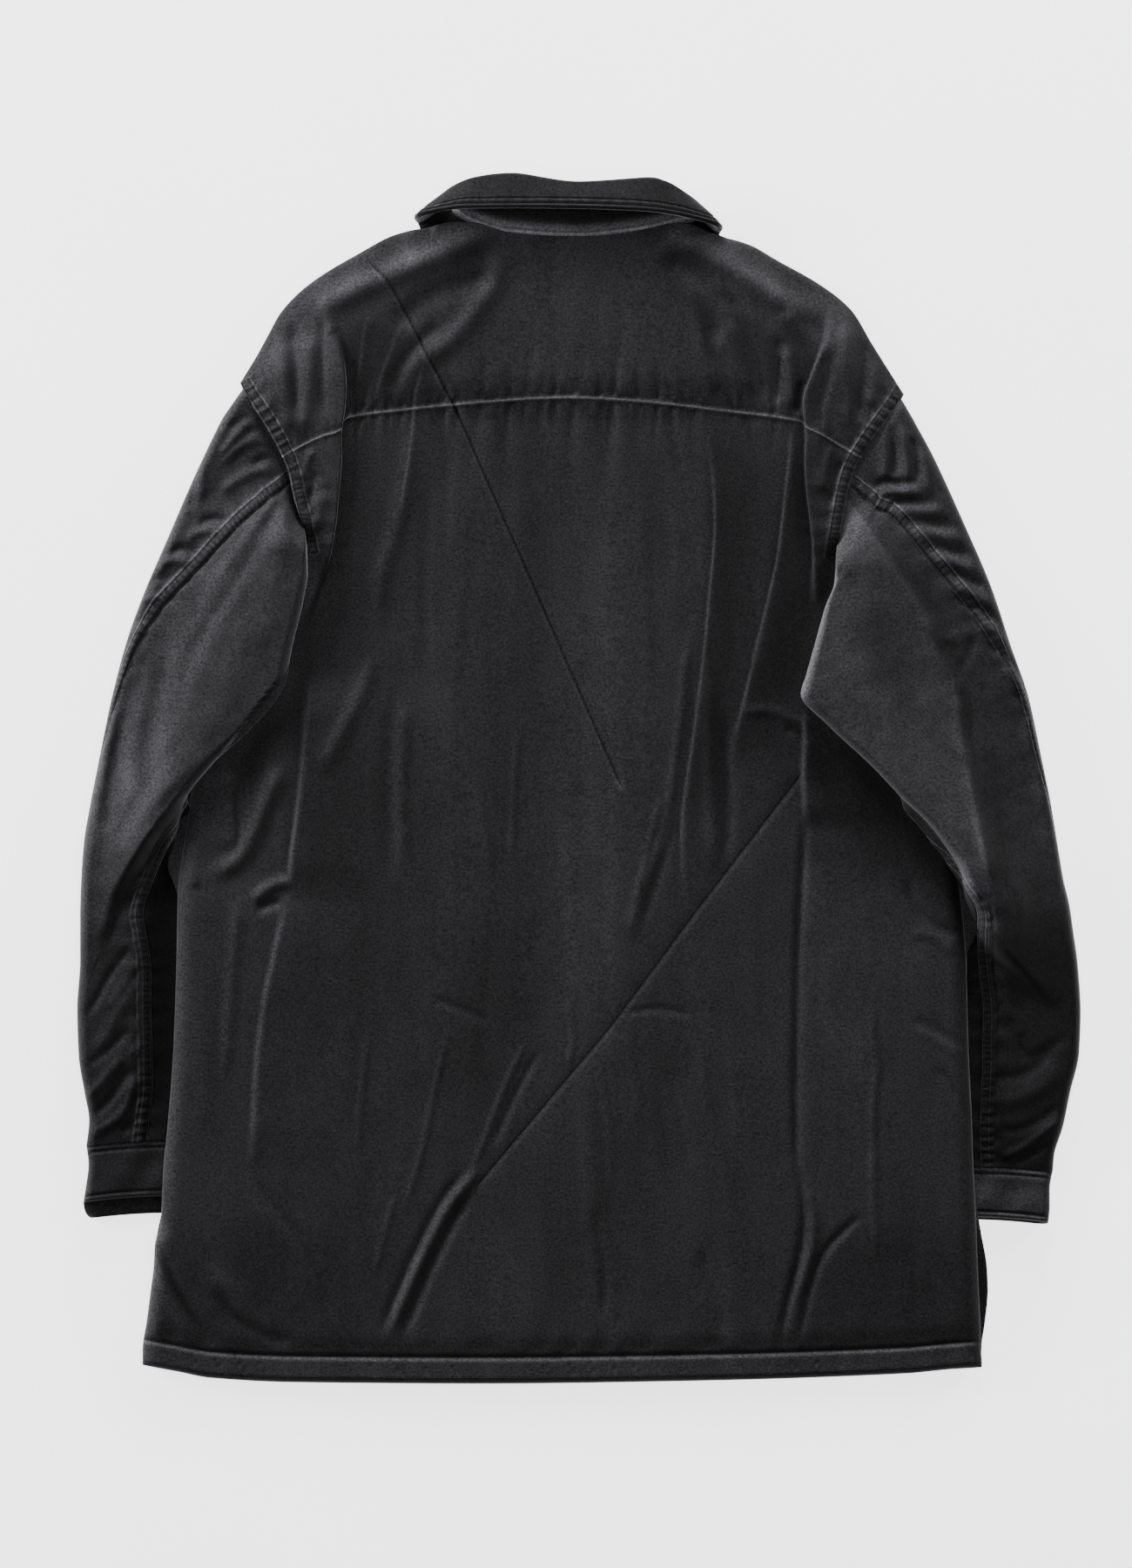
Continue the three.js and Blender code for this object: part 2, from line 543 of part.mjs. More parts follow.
const backBody = bodySheet(BACK_ROWS, BODY_COLUMNS, (u, v, face) => backPoint(u, v, face, -SEAM / 2));
const backYoke = bodySheet(YOKE_ROWS, BODY_COLUMNS, (u, v, face) => backPoint(u, v, face, SEAM / 2));

const FRONT_ROWS = [...BACK_ROWS, ...YOKE_ROWS.slice(1)];
const LAP_FROM = BODY_COLUMNS[LAP_COLUMN];
const LAP_TO = BODY_COLUMNS[LAP_COLUMN + 2];
const lapAfter = LAP_FROM + 0.0015;
const leftColumns = [...BODY_COLUMNS.filter((u) => u < LAP_FROM), LAP_FROM, lapAfter, 0.5, LAP_TO];
const frontLeft = bodySheet(FRONT_ROWS, leftColumns, (u, v, face) => {
  return frontPoint(u, v, face, u <= LAP_FROM ? "whole" : "under");
});
const lapBefore = LAP_FROM + 0.003;
const rightColumns = [lapBefore, 0.5, LAP_TO, LAP_TO + 0.0025, ...BODY_COLUMNS.filter((u) => u > LAP_TO)];
const frontRight = bodySheet(FRONT_ROWS, rightColumns, (u, v, face) => {
  return frontPoint(u, v, face, u <= LAP_TO + 0.001 ? "over" : "whole");
});

// ---------- sleeves and cuffs ----------
const CORNER = 0.14; // share of a section's half turn taken by each rolled fold

/** Way in from the outer fold, and rounding, at a place round a section of a given width. */
function roundSection(turn, width, radius) {
  const wrapped = ((turn % 2) + 2) % 2;
  const over = wrapped <= 1;
  const t = over ? wrapped : 2 - wrapped;
  const fromFold = Math.min(t, 1 - t);
  let way = lerp(radius, width - radius, (t - CORNER) / (1 - 2 * CORNER));
  let edge = 1;
  if (fromFold < CORNER) {
    const angle = (fromFold / CORNER) * (Math.PI / 2);
    edge = Math.sin(angle);
    way = radius * (1 - Math.cos(angle));
    if (t > 0.5) way = width - way;
  }
  return { share: way / width, edge, over };
}

function makeSleeve(arm) {
  const column = (name) => through(arm.sections, "row", name);
  const [ox, oy, ix, iy] = ["ox", "oy", "ix", "iy"].map(column);
  const height = column("height");
  const elbow = column("elbow");
  const under = column("under");
  const bodySide = arm.side < 0 ? leftSide : rightSide;
  const last = arm.sections.length - 1;

  /** Place in the plan: s along the sleeve by section, share from the outer to the inner fold. */
  function place(s, share) {
    const at = Math.max(s, 1);
    const x = lerp(ox(at), ix(at), share);
    const y = lerp(oy(at), iy(at), share);
    if (s >= 1) return { x, y };
    const capY = lerp(arm.capTop, arm.capEnd, share);
    const capX = bodySide(capY) + arm.side * CAP_GAP;
    return { x: lerp(capX, x, s), y: lerp(capY, y, s) };
  }

  /** Lower and upper surface of the flattened sleeve. */
  function levels(s, x, y) {
    const inboard = -arm.side * (x - bodySide(y));
    const past = soft(arm.capEnd + 22, arm.capEnd - 1, y);
    const onBody = past * soft(arm.crossing.clear, arm.crossing.over, y);
    const ride = (BODY_THICK + RIDE_CLEAR) * onBody;
    const floor = ride * soft(-38, -10, inboard);
    const tall = height(s);
    const slope = ride * soft(-82, 0, inboard);
    const covered = soft(-30, -2, inboard) * soft(arm.lift.from - 8, arm.lift.full, y);
    const spare = Math.max(tall - (LIFT - 0.8), 0) * covered;
    const folds = foldHeight(arm.folds, x, y) * (1 - covered) * soft(0, 1, s);
    return { floor, ceiling: Math.max(slope, floor) + tall - spare, folds };
  }

  function point(s, turn, face) {
    const first = place(s, 0);
    const second = place(s, 1);
    const width = Math.hypot(first.x - second.x, first.y - second.y);
    const { share, edge, over } = roundSection(turn, width, SLEEVE_ROLL);
    const inside = 0.5 + (share - 0.5) * (1 - (2 * SLEEVE_INSET) / width);
    const { x, y } = place(s, face === "outer" ? share : inside);
    const { floor, ceiling, folds } = levels(s, x, y);
    const middle = (floor + ceiling) / 2;
    if (face === "inner") {
      const least = share > 0.5 ? 0.6 : 0; // the air keeps some height at the inner fold
      const air = (over ? SLEEVE_AIR : -SLEEVE_AIR) * Math.max(edge, least);
      return new THREE.Vector3(x, y, middle + air);
    }
    const half = (ceiling - floor) / 2;
    return new THREE.Vector3(x, y, middle + (over ? half + folds : -half) * edge);
  }

  const rows = [0, 0.35, ...evenly(1, last, last - 1)];
  const half = SEAM / 130; // half a seam's clearance as a share of a section's turn
  const panel = (from, to, columns) => {
    const turns = evenly(0, 1, columns);
    const sheet = (face) => grid(rows, turns, (s, t) => point(s, lerp(from(s) + half, to(s) - half, t), face));
    return wall(sheet("outer"), sheet("inner"));
  };
  return {
    outer: panel(() => FRONT_SEAM, elbow, 8),
    back: panel(elbow, under, 12),
    under: panel(under, () => FRONT_SEAM + 2, 10),
  };
}

function makeCuff(arm) {
  const column = (name) => through(arm.cuff, "row", name);
  const [ox, oy, ix, iy, drop] = ["ox", "oy", "ix", "iy", "drop"].map(column);
  const rows = evenly(0, arm.cuff.length - 1, 3);
  const turns = evenly(0, 2, 28).slice(0, -1);
  const ring = (face) => grid(rows, turns, (s, turn) => {
    const width = Math.hypot(ox(s) - ix(s), oy(s) - iy(s));
    const { share, edge, over } = roundSection(turn, width, CUFF_ROLL);
    const inside = 0.5 + (share - 0.5) * (1 - (2 * CUFF_WALL) / width);
    const at = face === "outer" ? share : inside;
    const half = face === "outer" ? CUFF_THICK / 2 : CUFF_THICK / 2 - CUFF_WALL;
    const lowered = over ? 0 : drop(s) * edge;
    const y = lerp(oy(s), iy(s), at) + lowered;
    return new THREE.Vector3(lerp(ox(s), ix(s), at), y, CUFF_THICK / 2 + (over ? half : -half) * edge);
  });
  return wall(ring("outer"), ring("inner"), true);
}

// ---------- collar ----------
/** A band through a table's rows: a sheet of even thickness about the surface they give. */
function makeBand(rows, stations, columns) {
  const column = (name) => through(rows, "row", name);
  const [sx, sy, sz, tx, ty, tz] = ["sx", "sy", "sz", "tx", "ty", "tz"].map(column);
  const middle = (s, t) => new THREE.Vector3(
    lerp(sx(s), tx(s), t),
    lerp(sy(s), ty(s), t),
    lerp(sz(s), tz(s), t),
  );
  const last = rows.length - 1;
  const face = (sign) => grid(evenly(0, last, stations), evenly(0, 1, columns), (s, t) => {
    const along = middle(Math.min(s + 0.2, last), t).sub(middle(Math.max(s - 0.2, 0), t));
    const across = middle(s, 1).sub(middle(s, 0));
    const normal = along.cross(across).normalize();
    return middle(s, t).addScaledVector(normal, (sign * COLLAR_THICK) / 2);
  });
  return wall(face(1), face(-1));
}

// ---------- the garment ----------
const blouson = new THREE.Group();

function add(name, geometry) {
  const piece = new THREE.Mesh(geometry, new THREE.MeshStandardMaterial(VELVETEEN));
  piece.name = name;
  blouson.add(piece);
}

add("back_body", backBody);
add("back_yoke", backYoke);
add("front_left", frontLeft);
add("front_right", frontRight);
add("collar_stand", makeBand(STAND, 36, 2));
add("collar_leaf", makeBand(LEAF, 40, 3));
for (const [side, arm] of [["left", LEFT_SLEEVE], ["right", RIGHT_SLEEVE]]) {
  const panels = makeSleeve(arm);
  add(`sleeve_${side}_outer`, panels.outer);
  add(`sleeve_${side}_back`, panels.back);
  add(`sleeve_${side}_under`, panels.under);
  add(`cuff_${side}`, makeCuff(arm));
}

export default blouson;
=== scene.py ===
# %% [markdown]
# A padded velveteen blouson, laid face down. The construction (back, yoke, fronts, sleeves, cuffs,
# collar) comes from the frame, in metres, and this lesson gives each of its pieces the form that
# padded cloth takes when it lies: rolls, folds, puckers along the seams, sewn edges, and a nap
# into whose colour light and shade are painted. The finished cloth has to stay inside it.
# We load the frame first.

# %% Load the frame
import json

import bpy
import numpy as np
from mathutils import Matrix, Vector

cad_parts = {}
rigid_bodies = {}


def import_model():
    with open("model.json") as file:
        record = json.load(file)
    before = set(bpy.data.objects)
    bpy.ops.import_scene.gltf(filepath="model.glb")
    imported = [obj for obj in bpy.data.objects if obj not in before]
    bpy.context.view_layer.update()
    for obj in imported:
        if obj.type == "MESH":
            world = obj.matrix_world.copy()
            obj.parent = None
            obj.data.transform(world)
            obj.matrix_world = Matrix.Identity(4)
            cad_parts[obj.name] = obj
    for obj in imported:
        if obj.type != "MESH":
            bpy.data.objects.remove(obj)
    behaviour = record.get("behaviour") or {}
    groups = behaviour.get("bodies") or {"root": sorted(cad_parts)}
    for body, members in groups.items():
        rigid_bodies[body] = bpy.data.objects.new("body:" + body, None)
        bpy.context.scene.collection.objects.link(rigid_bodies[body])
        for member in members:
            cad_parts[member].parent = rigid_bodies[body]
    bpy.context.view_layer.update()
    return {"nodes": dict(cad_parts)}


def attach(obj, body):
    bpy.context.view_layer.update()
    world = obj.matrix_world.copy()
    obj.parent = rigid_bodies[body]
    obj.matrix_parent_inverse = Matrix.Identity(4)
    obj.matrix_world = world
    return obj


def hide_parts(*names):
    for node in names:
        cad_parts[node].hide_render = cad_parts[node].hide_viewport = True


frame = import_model()
MM = 0.001
print("nodes in the frame:", len(frame["nodes"]))

# %% [markdown]
# Every size below is in millimetres. The cloth is two padded walls lying on each other, so the
# jacket is about 17 mm thick where it lies plain, and more where a forearm lies under its side.
# The same few sizes drive the frame's solids, so the cloth lands on them without any fitting.

# %% Driving sizes
PAD = 8.0
SLIT = 1.0
BODY_THICK = 2 * PAD + SLIT
BODY_ROLL = 12.0
LEAST_EDGE = 0.12
LEAST_FACE = 2.5
HEM_DEPTH = 18.6
HEM_THICK = 6.6
LIFT = 16.0
LIFT_SPREAD = 110.0
LEAF_LIFT = 7.5
LAP_UNDER = 3.6
LAP_OVER = 4.2
RIDE_CLEAR = 0.8
CAP_GAP = -1.2
SLEEVE_ROLL = 7.5
SLEEVE_AIR = 1.7
SLEEVE_INSET = 7.0
END_BOW = 4
CUFF_THICK = 14.0
CUFF_WALL = 5.6
CUFF_ROLL = 6.0
COLLAR_THICK = 5.0
UNDERARM = 78.0
NECK_HALF = 88.0
FELL = 8.4
STITCH_ROWS = (1.5, 6.9)
STITCH_WIDTH = 0.7
QUILT_WIDTHS = (1.5, 7)
print("plain thickness of the body:", BODY_THICK, "mm")

# %% [markdown]
# Outlines and folds are written as short lines of text: what a row is, a colon, then its numbers.
# A curve through such numbers must not overshoot between them, or a hem would ripple, so we use
# Fritsch and Carlson's rule: a row's slope is the harmonic mean of its two neighbours, or zero
# where they turn.

# %% Tables and the curves through them
def rows(text):
    """(head, words) of each row "head: word word ...". A row goes on over lines without a colon,
    and a line that starts with # is a remark."""
    found = []
    for line in text.strip().splitlines():
        if not line.startswith("#"):
            *head, words = line.split(":")
            found += [(name, []) for name in head]
            found[-1][1].extend(words.split())
    return found


def table(text):
    """Named columns of numbers."""
    return {name: np.array(words, float) for name, words in rows(text)}


def listed(text):
    """The numbers before the colon and the path after it, its points written x,y, for each row."""
    return [([float(word) for word in head.split()], np.array([p.split(",") for p in path], float))
            for head, path in rows(text)]


SIDES = table("""
y: -417 -404 -394 -374 -353 -335 -320 -306 -267 -237 -183 -123 -75 -36 10 57 78 90 106 128 150 174
    194 212 226 244 264 280
left: -297 -301 -301 -298 -295 -292.5 -291.5 -287.5 -285.5 -282.5 -278.5 -276.5 -275.5 -270.5
    -264.5 -256 -247 -226 -205 -192 -187.3 -190 -196 -200 -206 -216 -229 -236
right: 279 279 278.4 277.8 276.3 275.3 274.5 274 272 271 268.5 267 263 258 255 250 243 224 203 186
    178.5 181.5 185 190 198 210 224 232
front_right: 279 279 278.6 281 282.6 281.6 279 276 272 271 268.5 267 263 258 255 250 243 224 203
    186 178.5 181.5 185 190 198 210 224 232
""")
HEM = table("""
x: -302 -275 -254 -197 -68 82 226 258 284
y: -404 -409 -413 -416 -417 -415 -410 -407 -405.5
""")
YOKE_SEAM = table("""
x: -206 -186 -172 -158 -126 -64 -8 37 101 148 157 171 198
y: 221 232 238.5 249.5 254 260 263 261 254 248 245.5 235.5 220
""")
SHOULDER = table("""
x: -233 -218 -205 -186 -154 -126 -105 -86 -72 -50 -25 0 25 50 66 78 90 104 119 135 170 189 203 225
back: 274 299 323 342 362 376 380 384 383.5 377 374.5 374 375 379.5 383 382 377 373 368.5 360 340
    324 301 266
front: 274 299 323 342 362 376 380 380 368 347 334 330 334 347 367 376 375 373 368.5 360 340 324
    301 266
""")


def through(xs, ys):
    """Curve through points: on a span h from a to b, with slopes m0 and m1 at its ends, it is
    a + (b-a) t^2 (3-2t) + h t (1-t) (m0 (1-t) - m1 t)."""
    slope = np.diff(ys) / np.diff(xs)
    both = slope[:-1] * slope[1:]
    total = slope[:-1] + slope[1:]
    inner = np.where(both > 0, 2 * both / np.where(total == 0, 1, total), 0)
    tangents = np.concatenate([slope[:1], inner, slope[-1:]])

    def curve(value):
        """The curve's height at each place, level past both ends."""
        at = np.clip(value, xs[0], xs[-1])
        i = np.clip(np.searchsorted(xs, at) - 1, 0, len(xs) - 2)
        span = xs[i + 1] - xs[i]
        t = (at - xs[i]) / span
        bend = span * t * (1 - t) * (tangents[i] * (1 - t) - tangents[i + 1] * t)
        return ys[i] + (ys[i + 1] - ys[i]) * t * t * (3 - 2 * t) + bend

    return curve


def curves(columns):
    """A curve for each column, over the row's number."""
    return {name: through(np.arange(float(len(ys))), ys) for name, ys in columns.items()}


def soft(start, end, value):
    """Soft S from 0 at start to 1 at end: t^2 (3-2t), in either order."""
    t = np.clip((value - start) / (end - start), 0, 1)
    return t * t * (3 - 2 * t)


def faded(first, last, along):
    """1 between two shares of a path's length, down to 0 at its ends."""
    return soft(0, first, along) * soft(1, last, along)


def bump(value, width):
    """exp(-(value/width)^2)."""
    return np.exp(-((value / width) ** 2))


def roll(way, radius):
    """Quarter circle of a folded edge: sqrt(1 - (1-q)^2), q the way in over the radius."""
    q = np.clip(way / radius, 0, 1)
    return np.sqrt(1 - (1 - q) ** 2)


def lerp(a, b, t):
    """Straight mix a + (b-a) t."""
    return a + (b - a) * t


left_side, right_side, front_right_side = (through(SIDES["y"], SIDES[name])
                                           for name in ("left", "right", "front_right"))
hem_line = through(HEM["x"], HEM["y"])
yoke_line = through(YOKE_SEAM["x"], YOKE_SEAM["y"])
back_top, front_top = (through(SHOULDER["x"], SHOULDER[name]) for name in ("back", "front"))
print("hem width:", round(float(right_side(-400) - left_side(-400)), 1), "mm")

# %% [markdown]
# A fold is a path drawn on the cloth with a width and a height. Three kinds are enough for padded
# velveteen: a ridge, a trough (its height is below zero), and a lip, where the cloth on the left
# of the path is higher and sinks back over its reach, as it does where a fold has been pushed over
# flat. The path's corners are rounded first by cutting them (Chaikin), and the ends fade so that
# no fold stops dead.

# %% Folds along paths
def rounded(path, passes=2):
    """Chaikin corner cutting: points a quarter and three quarters along replace each corner."""
    points = path
    for _ in range(passes):
        a, b = points[:-1], points[1:]
        cut = np.stack([a * 0.75 + b * 0.25, a * 0.25 + b * 0.75], 1).reshape(-1, 2)
        points = np.concatenate([points[:1], cut, points[-1:]])
    return points


def from_path(points, x, y):
    """Signed distance to a path, positive on its left, the share of its length reached, and the
    unit normal to its left at the nearest place."""
    best = np.full(np.shape(x), 1e9)
    signed, along, left_x, left_y = (np.zeros(np.shape(x)) for _ in range(4))
    steps = np.linalg.norm(np.diff(points, axis=0), axis=1)
    reached = np.concatenate([[0], np.cumsum(steps)]) / steps.sum()
    for i in range(len(points) - 1):
        ax, ay = points[i]
        dx, dy = points[i + 1] - points[i]
        t = np.clip(((x - ax) * dx + (y - ay) * dy) / (dx * dx + dy * dy), 0, 1)
        ex, ey = x - ax - t * dx, y - ay - t * dy
        length = np.hypot(ex, ey)
        near = length < best
        best = np.where(near, length, best)
        signed = np.where(near, np.where(dx * ey - dy * ex >= 0, length, -length), signed)
        along = np.where(near, lerp(reached[i], reached[i + 1], t), along)
        left_x = np.where(near, -dy / steps[i], left_x)
        left_y = np.where(near, dx / steps[i], left_y)
    return signed, along, left_x, left_y


def beside(path, margin, x, y):
    """Which places lie within a margin of a path's box, and there what from_path gives."""
    points = rounded(path)
    low, high = points.min(0) - margin, points.max(0) + margin
    near = (x > low[0]) & (x < high[0]) & (y > low[1]) & (y < high[1])
    return near, *from_path(points, x[near], y[near])


def fold_height(folds, x, y):
    """Sum of the folds: height x ends x exp(-(d/width)^2), or for a lip a soft step that sinks."""
    height = np.zeros(np.shape(x))
    for (width, tall, *reach), path in folds:
        near, d, along, *_ = beside(path, max(4 * width, 5 * sum(reach)) + 2, x, y)
        if reach:
            shape = soft(-width, width, d) * np.exp(-np.maximum(d, 0) / reach[0])
        else:
            shape = bump(d, width)
        height[near] += tall * faded(0.2, 0.8, along) * shape
    return height


def lean(folds, x, y):
    """Place after each lip has leaned over the lower cloth: a shift of 0.7 of its height to the
    right of its path, times exp(-((d-width)/(1.6 width))^2)."""
    x, y = x.copy(), y.copy()
    for (width, tall, *reach), path in folds:
        if reach:
            near, d, along, left_x, left_y = beside(path, 6 * width, x, y)
            ends = soft(0.04, 0.24, along) * soft(0.96, 0.76, along)
            shift = 0.7 * tall * ends * bump(d - width, 1.6 * width)
            x[near] -= shift * left_x
            y[near] -= shift * left_y
    return x, y


# %% [markdown]
# Each piece of cloth is a closed wall: one grid of points for its face, one for its inside, and
# rims round the edges. Whole grids are worked out at once, so a piece is a few array expressions.

# %% Walls from two grids
# painted light and shade: a slope facing this way, up and to the left, is painted lighter, and one
# facing away is painted darker
PAINTED_LIGHT_WAY = (-0.62, 0.78, 0.0)
PAINTED_LIGHT_LIMIT = 0.42
FAR = 99.0
FARTHEST = 999
INSIDE_STEP = 4


def add_object(name, data):
    """A new object in the scene for a mesh, a light or a camera."""
    item = bpy.data.objects.new(name, data)
    bpy.context.scene.collection.objects.link(item)
    return item


def painted_facing_light(points):
    """Painted light and shade by slope: how much each point of a grid faces up and to the left,
    the way the light comes from: the unit normal, from the cross product of the two grid steps,
    times PAINTED_LIGHT_WAY, held within PAINTED_LIGHT_LIMIT by a tanh."""
    normal = np.cross(np.gradient(points, axis=1), np.gradient(points, axis=0))
    normal /= np.maximum(np.linalg.norm(normal, axis=-1, keepdims=True), 1e-9)
    normal *= np.where(normal[..., 2:] < 0, -1, 1)
    way = normal @ np.array(PAINTED_LIGHT_WAY)
    return (PAINTED_LIGHT_LIMIT * np.tanh(way / PAINTED_LIGHT_LIMIT)).ravel()


def nearest(*values):
    """Of several signed distances at each place, the one nearest to zero."""
    stack = np.stack(np.broadcast_arrays(*values))
    pick = np.abs(stack).argmin(0)
    return np.take_along_axis(stack, pick[None], 0)[0]


def quads(index):
    """Four-cornered faces over a grid of point numbers."""
    corners = index[:-1, :-1], index[:-1, 1:], index[1:, 1:], index[1:, :-1]
    return np.stack(corners, -1).reshape(-1, 4)


def rim(fine, coarse, stride, back=False):
    """Faces between a fine edge and a coarse one: each takes stride steps of the fine edge."""
    count = len(coarse) - 1
    run = fine[np.arange(count)[:, None] * stride + np.arange(stride + 1)]
    low, high = coarse[:-1, None], coarse[1:, None]
    return np.hstack([run, high, low]) if back else np.hstack([run[:, ::-1], low, high])


def wall(name, outer, inner, tube=False, stride=INSIDE_STEP, nap=0.0, **marks):
    """Closed mesh from two grids (rows, columns, 3) in mm, the inside taken at every stride-th
    point. A tube's rows close on themselves. Each point stores a few numbers for its material: its
    painted light and shade, which is painted_facing_light plus a grid or one number, and on the
    face the grids in marks."""
    inner = inner[::stride, ::stride]
    face = np.arange(outer.shape[0] * outer.shape[1]).reshape(outer.shape[:2])
    inside = face.size + np.arange(inner.shape[0] * inner.shape[1]).reshape(inner.shape[:2])
    if tube:
        face = np.hstack([face, face[:, :1]])
        inside = np.hstack([inside, inside[:, :1]])
    rims = [rim(face[0], inside[0], stride), rim(face[-1], inside[-1], stride, True)]
    if not tube:
        rims += [rim(face[:, 0], inside[:, 0], stride, True),
                 rim(face[:, -1], inside[:, -1], stride)]
    skins = np.concatenate([quads(face), quads(inside)[:, ::-1]])
    rims = np.concatenate(rims)
    points = np.concatenate([outer.reshape(-1, 3), inner.reshape(-1, 3)]) * MM
    corners = points[skins]
    turned = np.cross(corners[:, 1] - corners[:, 0], corners[:, 2] - corners[:, 0])
    if (corners[:, 0] * turned).sum() < 0:
        skins, rims = skins[:, ::-1], rims[:, ::-1]
    loops = np.concatenate([skins.ravel(), rims.ravel()])
    starts = np.concatenate([np.arange(0, skins.size, 4),
                             skins.size + np.arange(0, rims.size, rims.shape[1])])
    mesh = bpy.data.meshes.new(name)
    mesh.vertices.add(len(points))
    mesh.vertices.foreach_set("co", points.astype(np.float32).ravel())
    mesh.loops.add(loops.size)
    mesh.loops.foreach_set("vertex_index", loops.astype(np.int32))
    mesh.polygons.add(len(starts))
    mesh.polygons.foreach_set("loop_start", starts.astype(np.int32))
    mesh.polygons.foreach_set("use_smooth", np.ones(len(starts), dtype=bool))
    mesh.update(calc_edges=True)
    stored = {kind: np.full(len(points), FAR) for kind in ("seam", "quilt", "band", "along")}
    for kind, grid in marks.items():
        stored[kind][:grid.size] = np.clip(grid, -FARTHEST, FARTHEST).ravel()
    light = np.full(len(points), 0.0 if np.ndim(nap) else nap)
    light[:outer[..., 0].size] = painted_facing_light(outer) + np.ravel(nap)
    for kind, values in {"nap": light, **stored}.items():
        layer = mesh.attributes.new(kind, "FLOAT", "POINT")
        layer.data.foreach_set("value", values.astype(np.float32))
    return add_object(name, mesh)


print("wall makers ready")

# %% [markdown]
# The main folds of the back are listed as a maker would describe them, each with its own width,
# height and reach, because real creases never repeat. Where a long fold has been pushed over flat,
# as along both armholes, it is a lip. Puckers stand on the yoke seam, uneven in length and place.

# %% Folds of the body
# a row: width, height and, for a lip, reach, then the path
BODY_FOLDS = listed("""
# the cloth outboard of both armholes has slid over the back
2.6 7.5 32: -197,86 -188,109 -181,129 -174,153 -170,177 -168,201 -166,221 -167,239 -164,255
    -163,273 -163,289 -166,308 -172,322
2.6 6.5 32: 172,332 173,315 171,300 163,276 157,262 160,240 159,222 160,200 163,178 165,158 164,132
    160,96
# long pleats of the right back, steep on their left and easing off to the right
1.5 2.6 20: 88,262 90,233 95,201 96,169 92,129 88,85 82,37 79,17 73,-23 72,-53 74,-85 80,-104
1.6 3 20: 145,262 147,245 147,227 145,203 141,167 138,147 131,118 125,93 116,55 110,37 104,8
3.2 4.2 22: 155,66 158,37 158,20 157,5 158,-10 157,-36
2.6 -2.4: 158,-10 155,-50 152,-110 151,-150 150,-195 150,-240 151,-268 155,-296
3 -2: 151,-262 156,-290 156,-313 150,-341 143,-366 139,-396
3 1.6: 154,-270 161,-296 163,-316 156,-340 149,-366
2.6 -1.6: 198,-296 179,-313 167,-328 160,-348 155,-373 152,-392
# the left side, lifted by the forearm
3 5 24: -187,74 -186,51 -187,21 -190,-11 -194,-41 -198,-69 -200,-84
3.4 3 20: -200,-74 -204,-99 -209,-127 -215,-153 -220,-195 -222,-240 -226,-272
6 3.2: -204,14 -208,1 -216,-19 -224,-39 -232,-55 -244,-62 -256,-66
2.2 1.2: -232,-266 -210,-299 -194,-320 -180,-352 -175,-369
4 -1.4: -228,-268 -205,-300 -189,-322 -176,-350 -166,-378
4.2 2.4: -62,-262 -78,-280 -91,-296 -105,-324 -119,-355 -131,-388
3.4 -1.8: -74,-266 -90,-284 -101,-304 -114,-330 -127,-360 -138,-388
3.2 -1.5: -72,-284 -84,-302 -98,-330 -112,-362 -122,-388
# the shoulders, where the cloth hangs off the collar in diagonals
9 4: -52,377 -90,364 -114,354 -134,346 -160,335 -186,318
9 4: 54,374 82,366 106,352 128,338 146,328 172,312
""")
